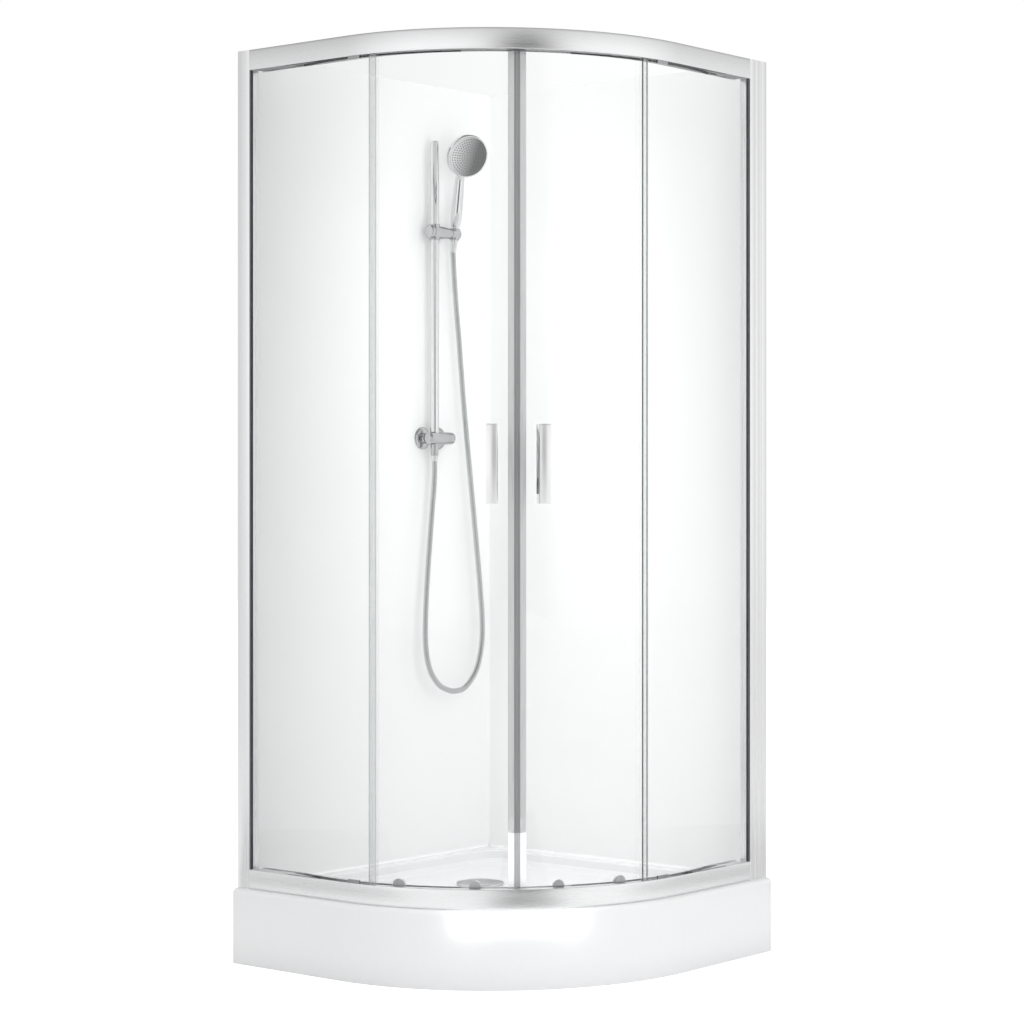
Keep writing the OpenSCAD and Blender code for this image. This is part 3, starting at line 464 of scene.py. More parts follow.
def glass_material(name, left_shaded_tint, right_shaded_tint, gloss=1.0):
    """Thin clear glass: light passes straight through and the surface reflects by Fresnel.

    Its tone changes evenly from the left post to the seam: painted shade of the wall behind, darkest at the left post.
    """
    m = bpy.data.materials.new(name)
    m.use_nodes = True
    nt = m.node_tree
    nt.nodes.remove(nt.nodes["Principled BSDF"])
    out = nt.nodes["Material Output"]
    clear = nt.nodes.new("ShaderNodeBsdfTransparent")
    tc = nt.nodes.new("ShaderNodeTexCoord")
    across = nt.nodes.new("ShaderNodeVectorMath")
    across.operation = "DOT_PRODUCT"
    across.inputs[1].default_value = (0.755, 0.656, 0)
    link(m, tc.outputs["Object"], across.inputs[0])
    # painted shade: the tint's level runs across the enclosure, darker towards the left post
    level = remap(m, across.outputs["Value"], 0, 1, -0.6, 0.1)
    mix_c = nt.nodes.new("ShaderNodeMix")
    mix_c.data_type = "RGBA"
    mix_c.inputs["A"].default_value = (*left_shaded_tint, 1)
    mix_c.inputs["B"].default_value = (*right_shaded_tint, 1)
    link(m, level, mix_c.inputs["Factor"])
    link(m, mix_c.outputs["Result"], clear.inputs["Color"])
    gl = nt.nodes.new("ShaderNodeBsdfGlossy")
    gl.inputs["Roughness"].default_value = 0.02
    gl.inputs["Color"].default_value = (gloss, gloss, gloss, 1)
    fr = nt.nodes.new("ShaderNodeFresnel")
    fr.inputs["IOR"].default_value = 1.45
    geo = nt.nodes.new("ShaderNodeNewGeometry")
    front = nt.nodes.new("ShaderNodeMath")
    front.operation = "SUBTRACT"
    front.inputs[0].default_value = 1.0
    link(m, geo.outputs["Backfacing"], front.inputs[1])
    fac = nt.nodes.new("ShaderNodeMath")
    fac.operation = "MULTIPLY"
    link(m, fr.outputs["Fac"], fac.inputs[0])
    link(m, front.outputs[0], fac.inputs[1])
    mix = nt.nodes.new("ShaderNodeMixShader")
    link(m, fac.outputs[0], mix.inputs["Fac"])
    link(m, clear.outputs["BSDF"], mix.inputs[1])
    link(m, gl.outputs["BSDF"], mix.inputs[2])
    link(m, mix.outputs["Shader"], out.inputs["Surface"])
    return m


# clear glass whose tint paints the wall's shade, darker towards the left post
glass = glass_material("clear_glass_painted_shade", (0.905, 0.908, 0.908), (0.992, 0.995, 0.994))


def soft_clear(name, color, rough, through, tint=(0.93, 0.95, 0.945)):
    """Translucent soft plastic: part of the light goes straight through."""
    m = plain(name, color, tuple(c * 0.93 for c in color), rough, scale=(120, 120, 10))
    nt = m.node_tree
    out = nt.nodes["Material Output"]
    clear = nt.nodes.new("ShaderNodeBsdfTransparent")
    clear.inputs["Color"].default_value = (*tint, 1)
    mix = nt.nodes.new("ShaderNodeMixShader")
    mix.inputs["Fac"].default_value = through
    link(m, principled(m).outputs["BSDF"], mix.inputs[1])
    link(m, clear.outputs["BSDF"], mix.inputs[2])
    link(m, mix.outputs["Shader"], out.inputs["Surface"])
    return m


seal_clear = soft_clear("clear_seal", (0.88, 0.885, 0.888), 0.3, 0.93, (0.99, 0.992, 0.992))
seam_clear = soft_clear("seam_seal", (0.74, 0.744, 0.748), 0.3, 0.3)
pale_edge = soft_clear("glass_edge_pale", (0.5, 0.55, 0.53), 0.12, 0.3)
edge_glass_shaded = soft_clear("glass_edge_painted_shade", (0.02, 0.032, 0.028), 0.2, 0.02)
# one kind of glass edge in two tones by side: the right panes' near-black edges are painted shade
EDGE_GLASS = {"left": pale_edge, "right": edge_glass_shaded}


def cover(name, m):
    """A CAD node that is shown keeps its shape and gets this material."""
    o = nodes[name]
    o.data.materials.clear()
    o.data.materials.append(m)
    return o


def put(obj, body, slot, *replaced):
    if replaced:
        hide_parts(*replaced)
    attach(obj, body)
    return obj


# Hose: two lengths of one cord, along the route points of part.scad
HOSE_LOOP = [[40, -250, 1173], [40, -251, 1130], [40, -258, 1060], [41, -269, 970], [43, -281, 870],
             [45, -289, 780], [47, -291, 715], [50, -281, 655], [53, -254, 615], [55, -222, 597], [55, -186, 591],
             [54, -148, 600], [52, -106, 640], [49, -83, 700], [46, -76, 760], [43, -81, 850], [41, -93, 960],
             [40, -108, 1080], [40, -126, 1210], [39, -142, 1340], [38, -156, 1480]]
HOSE_TOP = [[38, -156, 1480], [36, -164, 1560], [35, -171, 1640], [34.391, -175, 1704.31]]
HOSE_R = 7.0
PITCH = 4.6


def resampled(points, step):
    p = np.array(points, float)
    d = np.concatenate([[0], np.cumsum(np.linalg.norm(np.diff(p, axis=0), axis=1))])
    n = max(2, int(round(d[-1] / step)) + 1)
    s = np.linspace(0, d[-1], n)
    return np.stack([np.interp(s, d, p[:, k]) for k in range(3)], 1), s


def hose(name, route, first, last, start):
    line, s = resampled(curve_profile(route, 16), 1.15)
    tangents = np.gradient(line, axis=0)
    tangents[0], tangents[-1] = first, last
    tangents /= np.linalg.norm(tangents, axis=1)[:, None]
    sides = 14
    rings = []
    for p, t, d in zip(line, tangents, s):
        u = np.cross(t, [1, 0, 0])
        u /= np.linalg.norm(u)
        v = np.cross(u, t)
        ring = []
        for k in range(sides):
            a = 2 * math.pi * k / sides
            wave = math.cos(2 * math.pi * (d + start) / PITCH - a)
            r = HOSE_R - 0.35 + 0.35 * wave
            ring.append(tuple(p + r * (math.cos(a) * v + math.sin(a) * u)))
        rings.append(ring)
    verts, faces, uvs = loft(rings)
    obj = add_mesh(name, mm_verts(verts), faces, uvs, 60, [hose_metal])
    return obj, line, s[-1]


join = Vector(HOSE_TOP[1]) - Vector(HOSE_LOOP[-2])
hose_a, line_a, len_a = hose("shower_hose_loop", HOSE_LOOP, (0, 0, -1), tuple(join), 0)
lean = math.radians(7)
hose_b, line_b, len_b = hose("shower_hose_top", HOSE_TOP, tuple(join), (math.sin(lean), 0, math.cos(lean)), len_a)
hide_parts("hose_loop")
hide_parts("hose_top")
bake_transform(hose_a)
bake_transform(hose_b)


# Tray
LIP_Z = TRAY_H - 45


def quadrant(d_front, d_back, corner, n_arc=64, n_corner=6):
    """Closed outline inset by d_front from the apron and d_back from the walls, and which points are the walls'.

    The apron's two ends hold their last point twice, once for the apron and once for the wall side.
    """
    r = 550 - d_front
    pts, wall = [], []
    for k in range(n_arc + 1):
        a = math.radians(-90 + 90 * k / n_arc)
        pts.append((ARC + r * math.cos(a), -ARC + r * math.sin(a)))
        wall.append(False)
    corners = [((SIDE - d_front, -d_back), (0, -1), (-1, 0)), ((d_back, -d_back), (1, 0), (0, -1)),
               ((d_back, -(SIDE - d_front)), (0, 1), (1, 0))]
    for i, ((cx, cy), a, b) in enumerate(corners):
        c = max(corner, 0.01)
        ox, oy = cx + (a[0] + b[0]) * c, cy + (a[1] + b[1]) * c
        va, vb = (-b[0], -b[1]), (-a[0], -a[1])
        turned = []
        for k in range(n_corner + 1):
            t = math.pi / 2 * k / n_corner
            turned.append((ox + c * (va[0] * math.cos(t) + vb[0] * math.sin(t)),
                           oy + c * (va[1] * math.cos(t) + vb[1] * math.sin(t))))
        if i == 2:
            turned.insert(0, turned[0])
            wall += [True] + [False] * (n_corner + 1)
        elif i == 0:
            turned.append(turned[-1])
            wall += [False] * (n_corner + 1) + [True]
        else:
            wall += [True] * (n_corner + 1)
        pts += turned
    return pts, wall


def ring_at(d_front, d_back, corner, z):
    pts, wall = quadrant(d_front, d_back, corner)
    return [(x, y, max(z, LIP_Z) if w else z) for (x, y), w in zip(pts, wall)]


def quarter(n):
    return [(math.sin(math.pi / 2 * k / n), 1 - math.cos(math.pi / 2 * k / n)) for k in range(n + 1)]


def tray_rings():
    rings = []
    rings.append(ring_at(6, 6, 2, 0))
    rings.append(ring_at(1, 0.6, 2, 0))
    rings.append(ring_at(0, 0, 2, 1.2))
    for z in (60, 120, 160):
        rings.append(ring_at(0, 0, 2, z))
    for s, c in quarter(6):
        rings.append(ring_at(10 * c, 2.5 * c, 2, 165 + 10 * s if c < 1 else 175))
    rings.append(ring_at(30, 10, 3, 175))
    rings.append(ring_at(72, 44, 56, 175))
    for s, c in quarter(4):
        rings.append(ring_at(74 + 4 * s, 46 + 4 * s, 58, 175 - 4 * c))
    rings.append(ring_at(81, 53, 58, 155))
    for s, c in quarter(5):
        rings.append(ring_at(82 + 10 * c, 54 + 10 * c, 57, 155 - 9 * s))
    rings.append(ring_at(120, 95, 45, 145.6))
    return rings


rings = tray_rings()
verts, faces, uvs = loft(rings, caps=False)
n_ring = len(rings[0])
# the basin's floor falls gently to the waste
cx, cy = 290, -360
inner = rings[-1]
hole = []
for x, y, z in inner:
    a = math.atan2(y - cy, x - cx)
    hole.append((a, x, y))
floor_rings = []
for k in range(1, 9):
    t = k / 8
    ring = []
    for a, x, y in hole:
        hx, hy = cx + 46 * math.cos(a), cy + 46 * math.sin(a)
        ring.append((x + (hx - x) * t, y + (hy - y) * t, 145.6 - 0.6 * t))
    floor_rings.append(ring)
floor_rings.append([(x, y, 139.5) for x, y, z in floor_rings[-1]])
base = (len(rings) - 1) * n_ring
for ring in floor_rings:
    start = len(verts)
    verts += ring
    for k in range(n_ring):
        m = (k + 1) % n_ring
        faces.append([base + k, base + m, start + m, start + k])
        uvs.append([(0, 0), (0.01, 0), (0.01, 0.01), (0, 0.01)])
    base = start
# the underside: inner skin of the apron and the basin's back
skin = [ring_at(6, 6, 2, 0), ring_at(6, 6, 2, 150), ring_at(8, 8, 2, 168), ring_at(66, 40, 58, 168),
        ring_at(88, 60, 55, 150), ring_at(96, 68, 52, 139.5)]
base = 0
for ring in skin[1:]:
    start = len(verts)
    verts += ring
    for k in range(n_ring):
        m = (k + 1) % n_ring
        faces.append([base + m, base + k, start + k, start + m])
        uvs.append([(0, 0), (0.01, 0), (0.01, 0.01), (0, 0.01)])
    base = start
start = (len(rings) + len(floor_rings) - 1) * n_ring
for k in range(n_ring):
    m = (k + 1) % n_ring
    faces.append([base + m, base + k, start + k, start + m])
    uvs.append([(0, 0), (0.01, 0), (0.01, 0.01), (0, 0.01)])
tray = add_mesh("shower_tray", mm_verts(verts), faces, uvs, 40, [acrylic])
put(tray, "frame", "tray_acrylic", "tray")
cover("support_board", wood)
cover("tray_feet", zinc)
cover("waste_trap", trap_white)
cover("trap_gasket", rubber)
cover("waste_flange", chrome)
z0 = FLOOR_Z + 2.8
dome = [(0.5, 0.0), (56, 0), (57.3, 0.7), (57.4, 1.6), (56.6, 2.5), (54, 3.2), (40, 4.6), (22, 5.6), (8, 5.95), (0.5, 6)]
parts = [lathe(dome, move(cx, cy, z0), 64)]
for k in range(4):
    leg = round_poly([(29, -3), (40, -3), (40, 3), (29, 3)], 0.8, 3)
    leg_at = move(cx, cy, z0) @ turn("Z", 90 * k)
    parts.append(loft([[tuple(leg_at @ Vector((x, y, z))) for x, y in leg] for z in (-16, -1, 0.4)]))
drain = add_parts("drain_cover_dome", parts, [chrome], 30)
put(drain, "drain_cover", "chrome", "drain_cover")

# Wall panels
cover("left_panel", panel_white_painted_shade)
cover("right_panel", panel_white)
cover("panel_seals", panel_white)

# Rails
def crowned(x, low, high, rise, n=8):
    """Points of an outer face that bulges by rise between low and high."""
    return [(x - rise * (2 * k / n - 1) ** 2, low + (high - low) * k / n) for k in range(n + 1)]


def rail(name, node_name, z0, z1, web_top):
    w = 2.5
    face = crowned(FRAME_R, z0, z1, 0.9)
    if web_top:
        sec = [(RAIL_IN, z0), (RAIL_IN, z1)] + face[::-1] + [
            (FRAME_R - w, z0), (FRAME_R - w, z1 - w), (RAIL_IN + w, z1 - w), (RAIL_IN + w, z0)]
        rad = [0.5, 1.2, 1.6] + [0] * 7 + [1.0, 0.6, 0.8, 0.8, 0.5]
    else:
        sec = [(RAIL_IN, z1), (RAIL_IN, z0)] + face + [
            (FRAME_R - w, z1), (FRAME_R - w, z0 + w), (RAIL_IN + w, z0 + w), (RAIL_IN + w, z1)]
        rad = [0.5, 0.8, 1.2] + [0] * 7 + [1.4, 0.6, 0.8, 0.8, 0.5]
    o = sweep(name, round_poly(sec, rad, 4), stations_round(LEFT_FACE, RIGHT_FACE, 1.0), [alu_run])
    put(o, "frame", "satin_aluminium", node_name)
    return o


rail("rail_top", "top_rail", TOP - 47, TOP, True)
rail("rail_bottom", "bottom_rail", TRAY_H, TRAY_H + 45, False)
cover("top_track", alu_shaded_top)
cover("bottom_track", alu_part)


def connector_block(face, z0, z1, mirror):
    x0, x1 = ARC + RAIL_IN + 2.8, ARC + PANE_IN - 0.8
    plan = round_poly([(x0, -150), (x1, -150), (x1, -face - 0.05), (x0, -face - 0.05)], 0.8, 3)
    v, f, u = loft([[(x, y, z) for x, y in plan] for z in (z0, z1)])
    return (mirrored(v) if mirror else v), f, u


# the top connectors take the dark copy as painted shade under the top rail, the bottom ones the plain aluminium
for level, z0, z1, look in (("top", TOP - 44.5, TOP - 2.5, alu_shaded_top), ("bottom", TRAY_H + 2.5, TRAY_H + 42.5, alu_part)):
    blocks = [connector_block(FACES[side], z0, z1, side == "left") for side in ("left", "right")]
    o = add_parts(level + "_rail_connectors", blocks, [look])
    put(o, "frame", "grey_plastic", "rail_connectors")
cover("door_stops", rubber)


# Posts and wall profiles
def prism(section, z0, z1):
    """Closed plan section in corner millimetres, from z0 to z1, with flat ends."""
    return loft([[(x, y, z0) for x, y in section], [(x, y, z1) for x, y in section]])


def outer_run(side, low, high, n=6):
    """Outer face from low to high, in mm from the wall: one soft bulge on the left, three flat lands on the right."""
    if side == "left":
        half = LEFT_FACE / 2
        return [(FRAME_SIDE - 1.6 * ((y - half) / half) ** 2, -y)
                for y in [high + (low - high) * k / n for k in range(n + 1)]], [0] * (n + 1)
    pts, rad = [(FRAME_SIDE, -high)], [0.8 if high > WALL_PROFILE else 0.12]
    for line in (44.6, 19.6):
        if low < line < high:
            pts += [(FRAME_SIDE, -line - 1.1), (FRAME_SIDE - 1.4, -line - 0.6), (FRAME_SIDE - 1.4, -line + 0.6),
                    (FRAME_SIDE, -line + 1.1)]
            rad += [0.5, 0.2, 0.2, 0.5]
    return pts + [(FRAME_SIDE, -low)], rad + [0.8 if low == 0 else 0.12]


def wall_profile_section(side):
    x0, x1, w = FRAME_SIDE - 30, FRAME_SIDE, WALL_PROFILE
    run, rad = outer_run(side, 0, w)
    pts = [(x0, 0), (x0, -w), (x0 + 2.2, -w), (x0 + 2.2, -2.2), (x1 - 3, -2.2), (x1 - 3, -w)] + run
    return round_poly(pts, [0.4, 0.5, 0.3, 0.3, 0.3, 0.3] + rad, 3)


def post_section(side, face):
    """Box of the post with its glass pocket."""
    x0, w = FRAME_SIDE - 30, WALL_PROFILE
    gi, go = ARC + PANE_IN - 1.2, ARC + PANE_OUT + 1.2
    run, rad = outer_run(side, w + 0.05, face)
    pts = [(x0, -w - 0.05), (x0, -face), (gi, -face), (gi, -face + 8), (go, -face + 8), (go, -face)] + run
    return round_poly(pts, [0.3, 0.8, 0.3, 0.2, 0.2, 0.1] + rad, 3)


wall_parts = []
for side, face in FACES.items():
    m = side == "left"
    o = add_parts(side + "_post_profile", [prism(post_section(side, face), TRAY_H, TOP)], [alu_post], 35, m)
    put(o, "frame", "satin_aluminium", side + "_post")
    v, f, u = prism(wall_profile_section(side), TRAY_H, TOP)
    wall_parts.append((mirrored(v) if m else v, f, u))
o = add_parts("wall_profile_pair", wall_parts, [alu_post])
put(o, "frame", "satin_aluminium", "wall_profiles")
cover("post_screws", zinc)


# Glass
def glass_loop(stations, r0, r1, z0, z1, mirror):
    """Pane with eased, greenish edges: the big faces are clear, the rim is edge glass."""
    e = 0.5
    sec = [(r0, z0 + e), (r0, z1 - e), (r0 + e, z1), (r1 - e, z1), (r1, z1 - e), (r1, z0 + e), (r1 - e, z0), (r0 + e, z0)]
    rings = [[(o[0] + d[0] * r, o[1] + d[1] * r, z) for r, z in sec] for o, d in stations]
    if mirror:
        rings = [mirrored(r) for r in rings]
    verts, faces, uvs = loft(rings)
    n = len(sec)
    fm = []
    for i, fc in enumerate(faces):
        if len(fc) > 4:
            fm.append(1)
        else:
            k = i % n
            fm.append(0 if k in (0, 4) else 1)
    return verts, faces, uvs, fm


def pane_glass(side, face):
    stations = stations_arc(EDGE[side], 0, 1.0) + [((ARC, -ARC + (ARC - face + 6.8) * k / 2), (1, 0)) for k in (1, 2)]
    verts, faces, uvs, fm = glass_loop(stations, PANE_IN, PANE_OUT, 177.8, 2122.2, side == "left")
    o = add_mesh(side + "_fixed_glass", mm_verts(verts), faces, uvs, 25, [glass, EDGE_GLASS[side]], fm)
    return put(o, "frame", "glass", side + "_pane")


def door_glass(side):
    stations = stations_track(DOOR_FROM, DOOR_TO[side], 1.0)
    verts, faces, uvs, fm = glass_loop(stations, TRACK_R - GH, TRACK_R + GH, 187, 2117, side == "left")
    o = add_mesh(side + "_sliding_glass", mm_verts(verts), faces, uvs, 25, [glass, EDGE_GLASS[side]], fm)
    return put(o, side + "_door", "glass", side + "_door_glass")


for side, face in (("left", LEFT_FACE), ("right", RIGHT_FACE)):
    pane_glass(side, face)
    door_glass(side)

# Seals
cover("pane_gaskets", gasket_grey)


def strip(name, pieces, mats, mirror=False):
    """Vertical strips: each piece is a plan polygon in corner millimetres."""
    parts = [prism(p, SEAL_LOW, SEAL_HIGH) for p in pieces]
    return add_parts(name, parts, mats, 35, mirror)


def at_track(a_mm, off):
    """Plan point on the doors' circle: a_mm along from the seam, off outwards."""
    a = math.radians(track_deg(a_mm) - 45)
    r = TRACK_R + off
    return (TRACK_C + r * math.cos(a), -TRACK_C + r * math.sin(a))


def at_pane(side, mm_along, off):
    """Plan point on the fixed pane's arc: along from its free edge, off outwards from its mid-plane."""
    a = math.radians(EDGE[side] + arc_deg(mm_along, PANE_IN + 2.5))
    r = PANE_IN + 2.5 + off
    return (ARC + r * math.cos(a), -ARC + r * math.sin(a))


def soft(points, place, radius=0.4):
    return round_poly([place(*p) for p in points], radius, 3)


o_l = GH + 1.2
for side in ("left", "right"):
    m = side == "left"
    # clip that grips the glass beside the seam, with a ribbed chamber next to the magnet
    clip = [(6.8, -o_l), (20, -o_l), (20, -GH - 0.15), (13.85, -GH - 0.15), (13.85, GH + 0.15), (20, GH + 0.15),
            (20, o_l), (6.8, o_l)]
    rib = [(9.6, o_l - 0.05), (11.2, o_l - 0.05), (11.0, o_l + 0.35), (9.8, o_l + 0.35)]
    s = strip(side + "_seam_clip", [soft(clip, at_track), soft(rib, at_track, 0.15)], [seam_clear], m)
    put(s, side + "_door", "clear_seal", side + "_seal_clip")
    mag = [(0.3, -o_l), (6.8, -o_l), (6.8, o_l), (4.6, o_l), (4.3, o_l - 0.8), (3.4, o_l - 0.8), (3.1, o_l), (0.3, o_l)]
    s = strip(side + "_seam_magnet", [soft(mag, at_track, 0.5)], [magnet_grey], m)
    put(s, side + "_door", "grey_plastic", side + "_magnet")
    d = math.radians(DOOR_TO[side]) * TRACK_R
    edge = [(d + 1.15, -o_l), (d + 1.15, o_l), (d - 12, o_l), (d - 12, GH + 0.15), (d + 0.15, GH + 0.15),
            (d + 0.15, -GH - 0.15), (d - 12, -GH - 0.15), (d - 12, -o_l)]
    s = strip(side + "_outer_seal", [soft(edge, at_track)], [seal_clear], m)
    put(s, side + "_door", "clear_seal", side + "_edge_seal")

pane_seal = [(-1.2, -o_l), (-1.2, o_l), (14, o_l), (14, GH + 0.15), (-0.15, GH + 0.15), (-0.15, -GH - 0.15),
             (14, -GH - 0.15), (14, -o_l)]
fin = [(-1.1, -o_l), (-7, -o_l), (-7.1, -o_l + 0.4), (-6.9, -o_l + 0.8), (-1.1, -o_l + 0.8)]
pair = []
for side in ("right", "left"):
    for shape, radius in ((pane_seal, 0.4), (fin, 0.25)):
        v, f, u = prism(round_poly([at_pane(side, *p) for p in shape], radius, 3), SEAL_LOW, SEAL_HIGH)
        pair.append((mirrored(v) if side == "left" else v, f, u))
o = add_parts("pane_edge_seals", pair, [seal_clear])
put(o, "frame", "clear_seal", "pane_seals")
cover("pane_clips", cap_chrome)


# Handles and fixings on the doors
def c_handle():
    foot, front = GH + 0.05, GH + 46
    c = [(foot, -88), (front, -88), (front, 88), (foot, 88), (foot, 66), (front - 10, 66), (front - 10, -66), (foot, -66)]
    c = round_poly(c, [0.3, 2.0, 2.0, 0.3, 0.3, 1.2, 1.2, 0.3], 4)
    place = on_door(track_deg(55), TRAY_H + 986)
    rings = []
    for y, inset in ((-12, 0.9), (-11.7, 0.35), (-11.1, 0), (11.1, 0), (11.7, 0.35), (12, 0.9)):
        ring = []
        for k, (x, z) in enumerate(c):
            px, pz = c[k - 1]
            nx, nz = c[(k + 1) % len(c)]
            t = Vector((nx - px, nz - pz))
            t.normalize()
            ring.append(tuple(place @ Vector((x - t.y * inset, y, z + t.x * inset))))
        rings.append(ring)
    return loft(rings)


for side in ("left", "right"):
    m = side == "left"
    o = add_parts(side + "_pull_handle", [c_handle()], [alu_pull], 35, m)
    put(o, side + "_door", "satin_aluminium", side + "_handle")
    cover(side + "_handle_screws", chrome)
    cover(side + "_roller_bolts", cap_chrome)

# Roller wheels with a running groove
wheel_profile = [(3.06, -3.5), (6, -3.5), (6.4, -3.1), (8.6, -3.1), (9, -3.5), (10.6, -3.5), (11.4, -2.8), (11.5, -1.8),
                 (10.9, -0.9), (10.7, 0), (10.9, 0.9), (11.5, 1.8), (11.4, 2.8), (10.6, 3.5), (9, 3.5), (8.6, 3.1),
                 (6.4, 3.1), (6, 3.5), (3.06, 3.5)]
for side in ("left", "right"):
    for level, z in (("top", TOP - 27), ("bottom", 223)):
        for which, angle in (("near", NEAR_AT), ("far", FAR_AT[side])):
            name = f"{side}_{level}_{which}_wheel"
            place = on_door(angle, z) @ move(-9, 0, 0) @ OUTWARDS
            o = add_parts(name + "_tyre", [lathe(wheel_profile, place, 48, closed=True)], [nylon], 30, side == "left")
            put(o, name, "nylon", name)

# Shower set
HX, HY, SZ = 40, 175, 1750
MZ, RY, ROSETTES = 1231, 250, (-10, 48)
at_mixer = move(40, -RY, MZ)
at_slider = move(40, -RY, SZ)
body = [(0.5, -27), (8.6, -27), (10.6, -26.5), (13.8, -25), (15.7, -22.4), (16.5, -18.5), (16.5, 8), (16.2, 20),
        (15.25, 56.8), (14.9, 57.7), (0.5, 58)]
parts = [lathe(body, at_mixer @ ALONG, 56)]
for y in ROSETTES:
    neck = [(7, 0), (7, 23), (7.6, 25.2), (9, 26.6), (9.4, 27)]
    parts.append(lathe(neck, at_mixer @ move(0, y, 0) @ turn("Y", -90), 40))
stub = [(9.5, 0), (9.5, -41.4), (9.3, -43), (8.6, -44), (0.5, -44)]
parts.append(lathe(stub, at_mixer, 48))
o = add_parts("mixer_casting", parts, [satin_chrome], 40)
put(o, "frame", "chrome", "mixer_body")
ros = [(0.5, 0), (28.2, 0), (28.5, 0.5), (28.4, 1.8), (27, 3.4), (24, 5.2), (20, 6.4), (14, 6.9), (0.5, 7)]
parts = [lathe(ros, move(6, y - RY, MZ) @ OUTWARDS, 64) for y in ROSETTES]
o = add_parts("mixer_wall_rosettes", parts, [satin_chrome], 40)
put(o, "frame", "chrome", "mixer_rosettes")
knob = [(0.5, 58.3), (14.4, 58.3), (15, 58.8), (15.2, 59.6), (14.9, 61.6), (14.2, 63), (13.2, 63.7), (12, 64), (0.5, 64)]
o = add_parts("mixer_turn_knob", [lathe(knob, at_mixer @ ALONG, 60)], [satin_chrome], 30)
put(o, "mixer_knob", "chrome", "mixer_knob")
riser = [(9.5, 1234.1), (11, 1234.1), (11, 1976.4), (10.6, 1978), (9.4, 1978.9), (7.5, 1979), (0.5, 1979)]
o = add_parts("riser_tube", [lathe(riser, move(40, -RY, 0), 64)], [tube_chrome], 30)
put(o, "frame", "chrome", "riser_rail")


sbody = [(11.5, -12), (15.9, -12), (16.7, -11.6), (17, -10.6), (17, 10), (16.8, 12.5), (16.2, 24), (13.5, 50), (13, 56.2),
         (12.4, 57.4), (0.5, 57.7)]
parts = [lathe(sbody, at_slider @ ALONG, 56)]
collar = [(11.15, -20), (12.7, -20), (13.3, -19.4), (13.3, 19.4), (12.7, 20), (11.15, 20)]
parts.append(lathe(collar, at_slider, 48, closed=True))
pin = [(6, 57), (6, 61.7), (0.5, 61.7)]
parts.append(lathe(pin, at_slider @ ALONG, 32))
o = add_parts("slider_casting", parts, [satin_chrome], 40)
put(o, "slider", "plated_plastic", "slider_body")
sk = [(0.5, -24), (13.6, -24), (15.4, -23.4), (16.6, -22), (17, -20.2), (17, -13.2), (16.5, -12.3), (0.5, -12.3)]
o = add_parts("slider_turn_knob", [lathe(sk, at_slider @ ALONG, 56)], [satin_chrome], 30)
put(o, "slider_knob", "plated_plastic", "slider_knob")

hold = move(HX, -HY, SZ)
at_hand = hold @ turn("Y", 7)
barrel = [(6.06, -17), (12, -17), (12.8, -16.5), (13, -15.6), (13, 10.6), (12.8, 11.5), (12, 12), (0.5, 12)]
parts = [lathe(barrel, hold @ ALONG, 48)]
cup = [(10.05, -15), (12.2, -15), (12.8, -14.4), (13.2, 13.4), (12.8, 14.4), (12, 15), (10.4, 15)]
parts.append(lathe(cup, at_hand, 48, closed=True))
o = add_parts("handset_holder_cup", parts, [satin_chrome], 40)
put(o, "handset", "plated_plastic", "handset_holder")
nut = [(7.2, -46), (7.6, -45.6), (8.4, -30), (9.2, -20.6), (9.2, -18.1), (0.5, -18.1)]
o = add_parts("handset_hose_nut", [lathe([(0.5, -46)] + nut, at_hand, 40)], [chrome], 30)
put(o, "handset", "plated_plastic", "handset_nut")
nut = [(0.5, -58), (7.3, -58), (7.6, -57.6), (8.5, -50), (8.8, -46.4), (8.8, -44.4), (8.3, -44.05), (0.5, -44.05)]
o = add_parts("outlet_hose_nut", [lathe(nut, at_mixer, 40)], [chrome], 30)
put(o, "frame", "chrome", "outlet_nut")

neck_at = at_hand @ turn("Z", -20)
head = neck_at @ move(29, 0, 199) @ turn("Y", 105)
grip = [(0.5, -18)] + curve_profile([(9.9, -18), (9.9, 8), (9.9, 19.5)], 3) + \
    curve_profile([(10.6, 20.2), (11.7, 22.5), (12.8, 31), (13.9, 47), (14.1, 62), (13.9, 77), (12.9, 108), (11.8, 138)], 4)
shell = curve_profile([(0.5, -18), (16, -17.8), (30, -16.8), (40, -14.8), (48, -11.4), (53, -7.4), (54.8, -3.6), (55, 2),
                       (54.8, 5.6), (54, 7.4), (52.2, 8.0), (50.6, 7.6), (50, 6.4)], 4) + [(0.5, 6.2)]
parts = [lathe(grip, at_hand, 48), lathe(shell, head, 72)]
# The neck bends from the grip into the head's back
neck_line = [neck_at @ Vector((x, 0, z)) for x, z in ((0, 134), (0.3, 141), (1.8, 148), (4.6, 155), (7.6, 161), (10, 165))]
neck_rad = [(11.8, 11.8), (11.6, 11.7), (11, 11.8), (10, 12.6), (8.8, 14), (6, 16)]
side_axis = neck_at.to_3x3() @ Vector((0, 1, 0))
rings = []
smooth_line = curve_profile([tuple(p) for p in neck_line], 4)
smooth_rad = curve_profile(neck_rad, 4)
for i, (p, (ra, rb)) in enumerate(zip(smooth_line, smooth_rad)):
    a = Vector(smooth_line[max(i - 1, 0)])
    b = Vector(smooth_line[min(i + 1, len(smooth_line) - 1)])
    t = (b - a).normalized()
    w = t.cross(side_axis).normalized()
    rings.append([tuple(Vector(p) + w * ra * math.cos(2 * math.pi * k / 32) + side_axis * rb * math.sin(2 * math.pi * k / 32))
                  for k in range(32)])
parts.append(loft(rings))
o = add_parts("handset_shell", parts, [chrome], 50)
put(o, "handset", "plated_plastic", "handset_body")
face = [(0.5, 6.0), (49.7, 6.0), (49.8, 7.6), (49.2, 8.4), (47, 8.8), (0.5, 9.0)]
parts = [lathe(face, head, 72)]
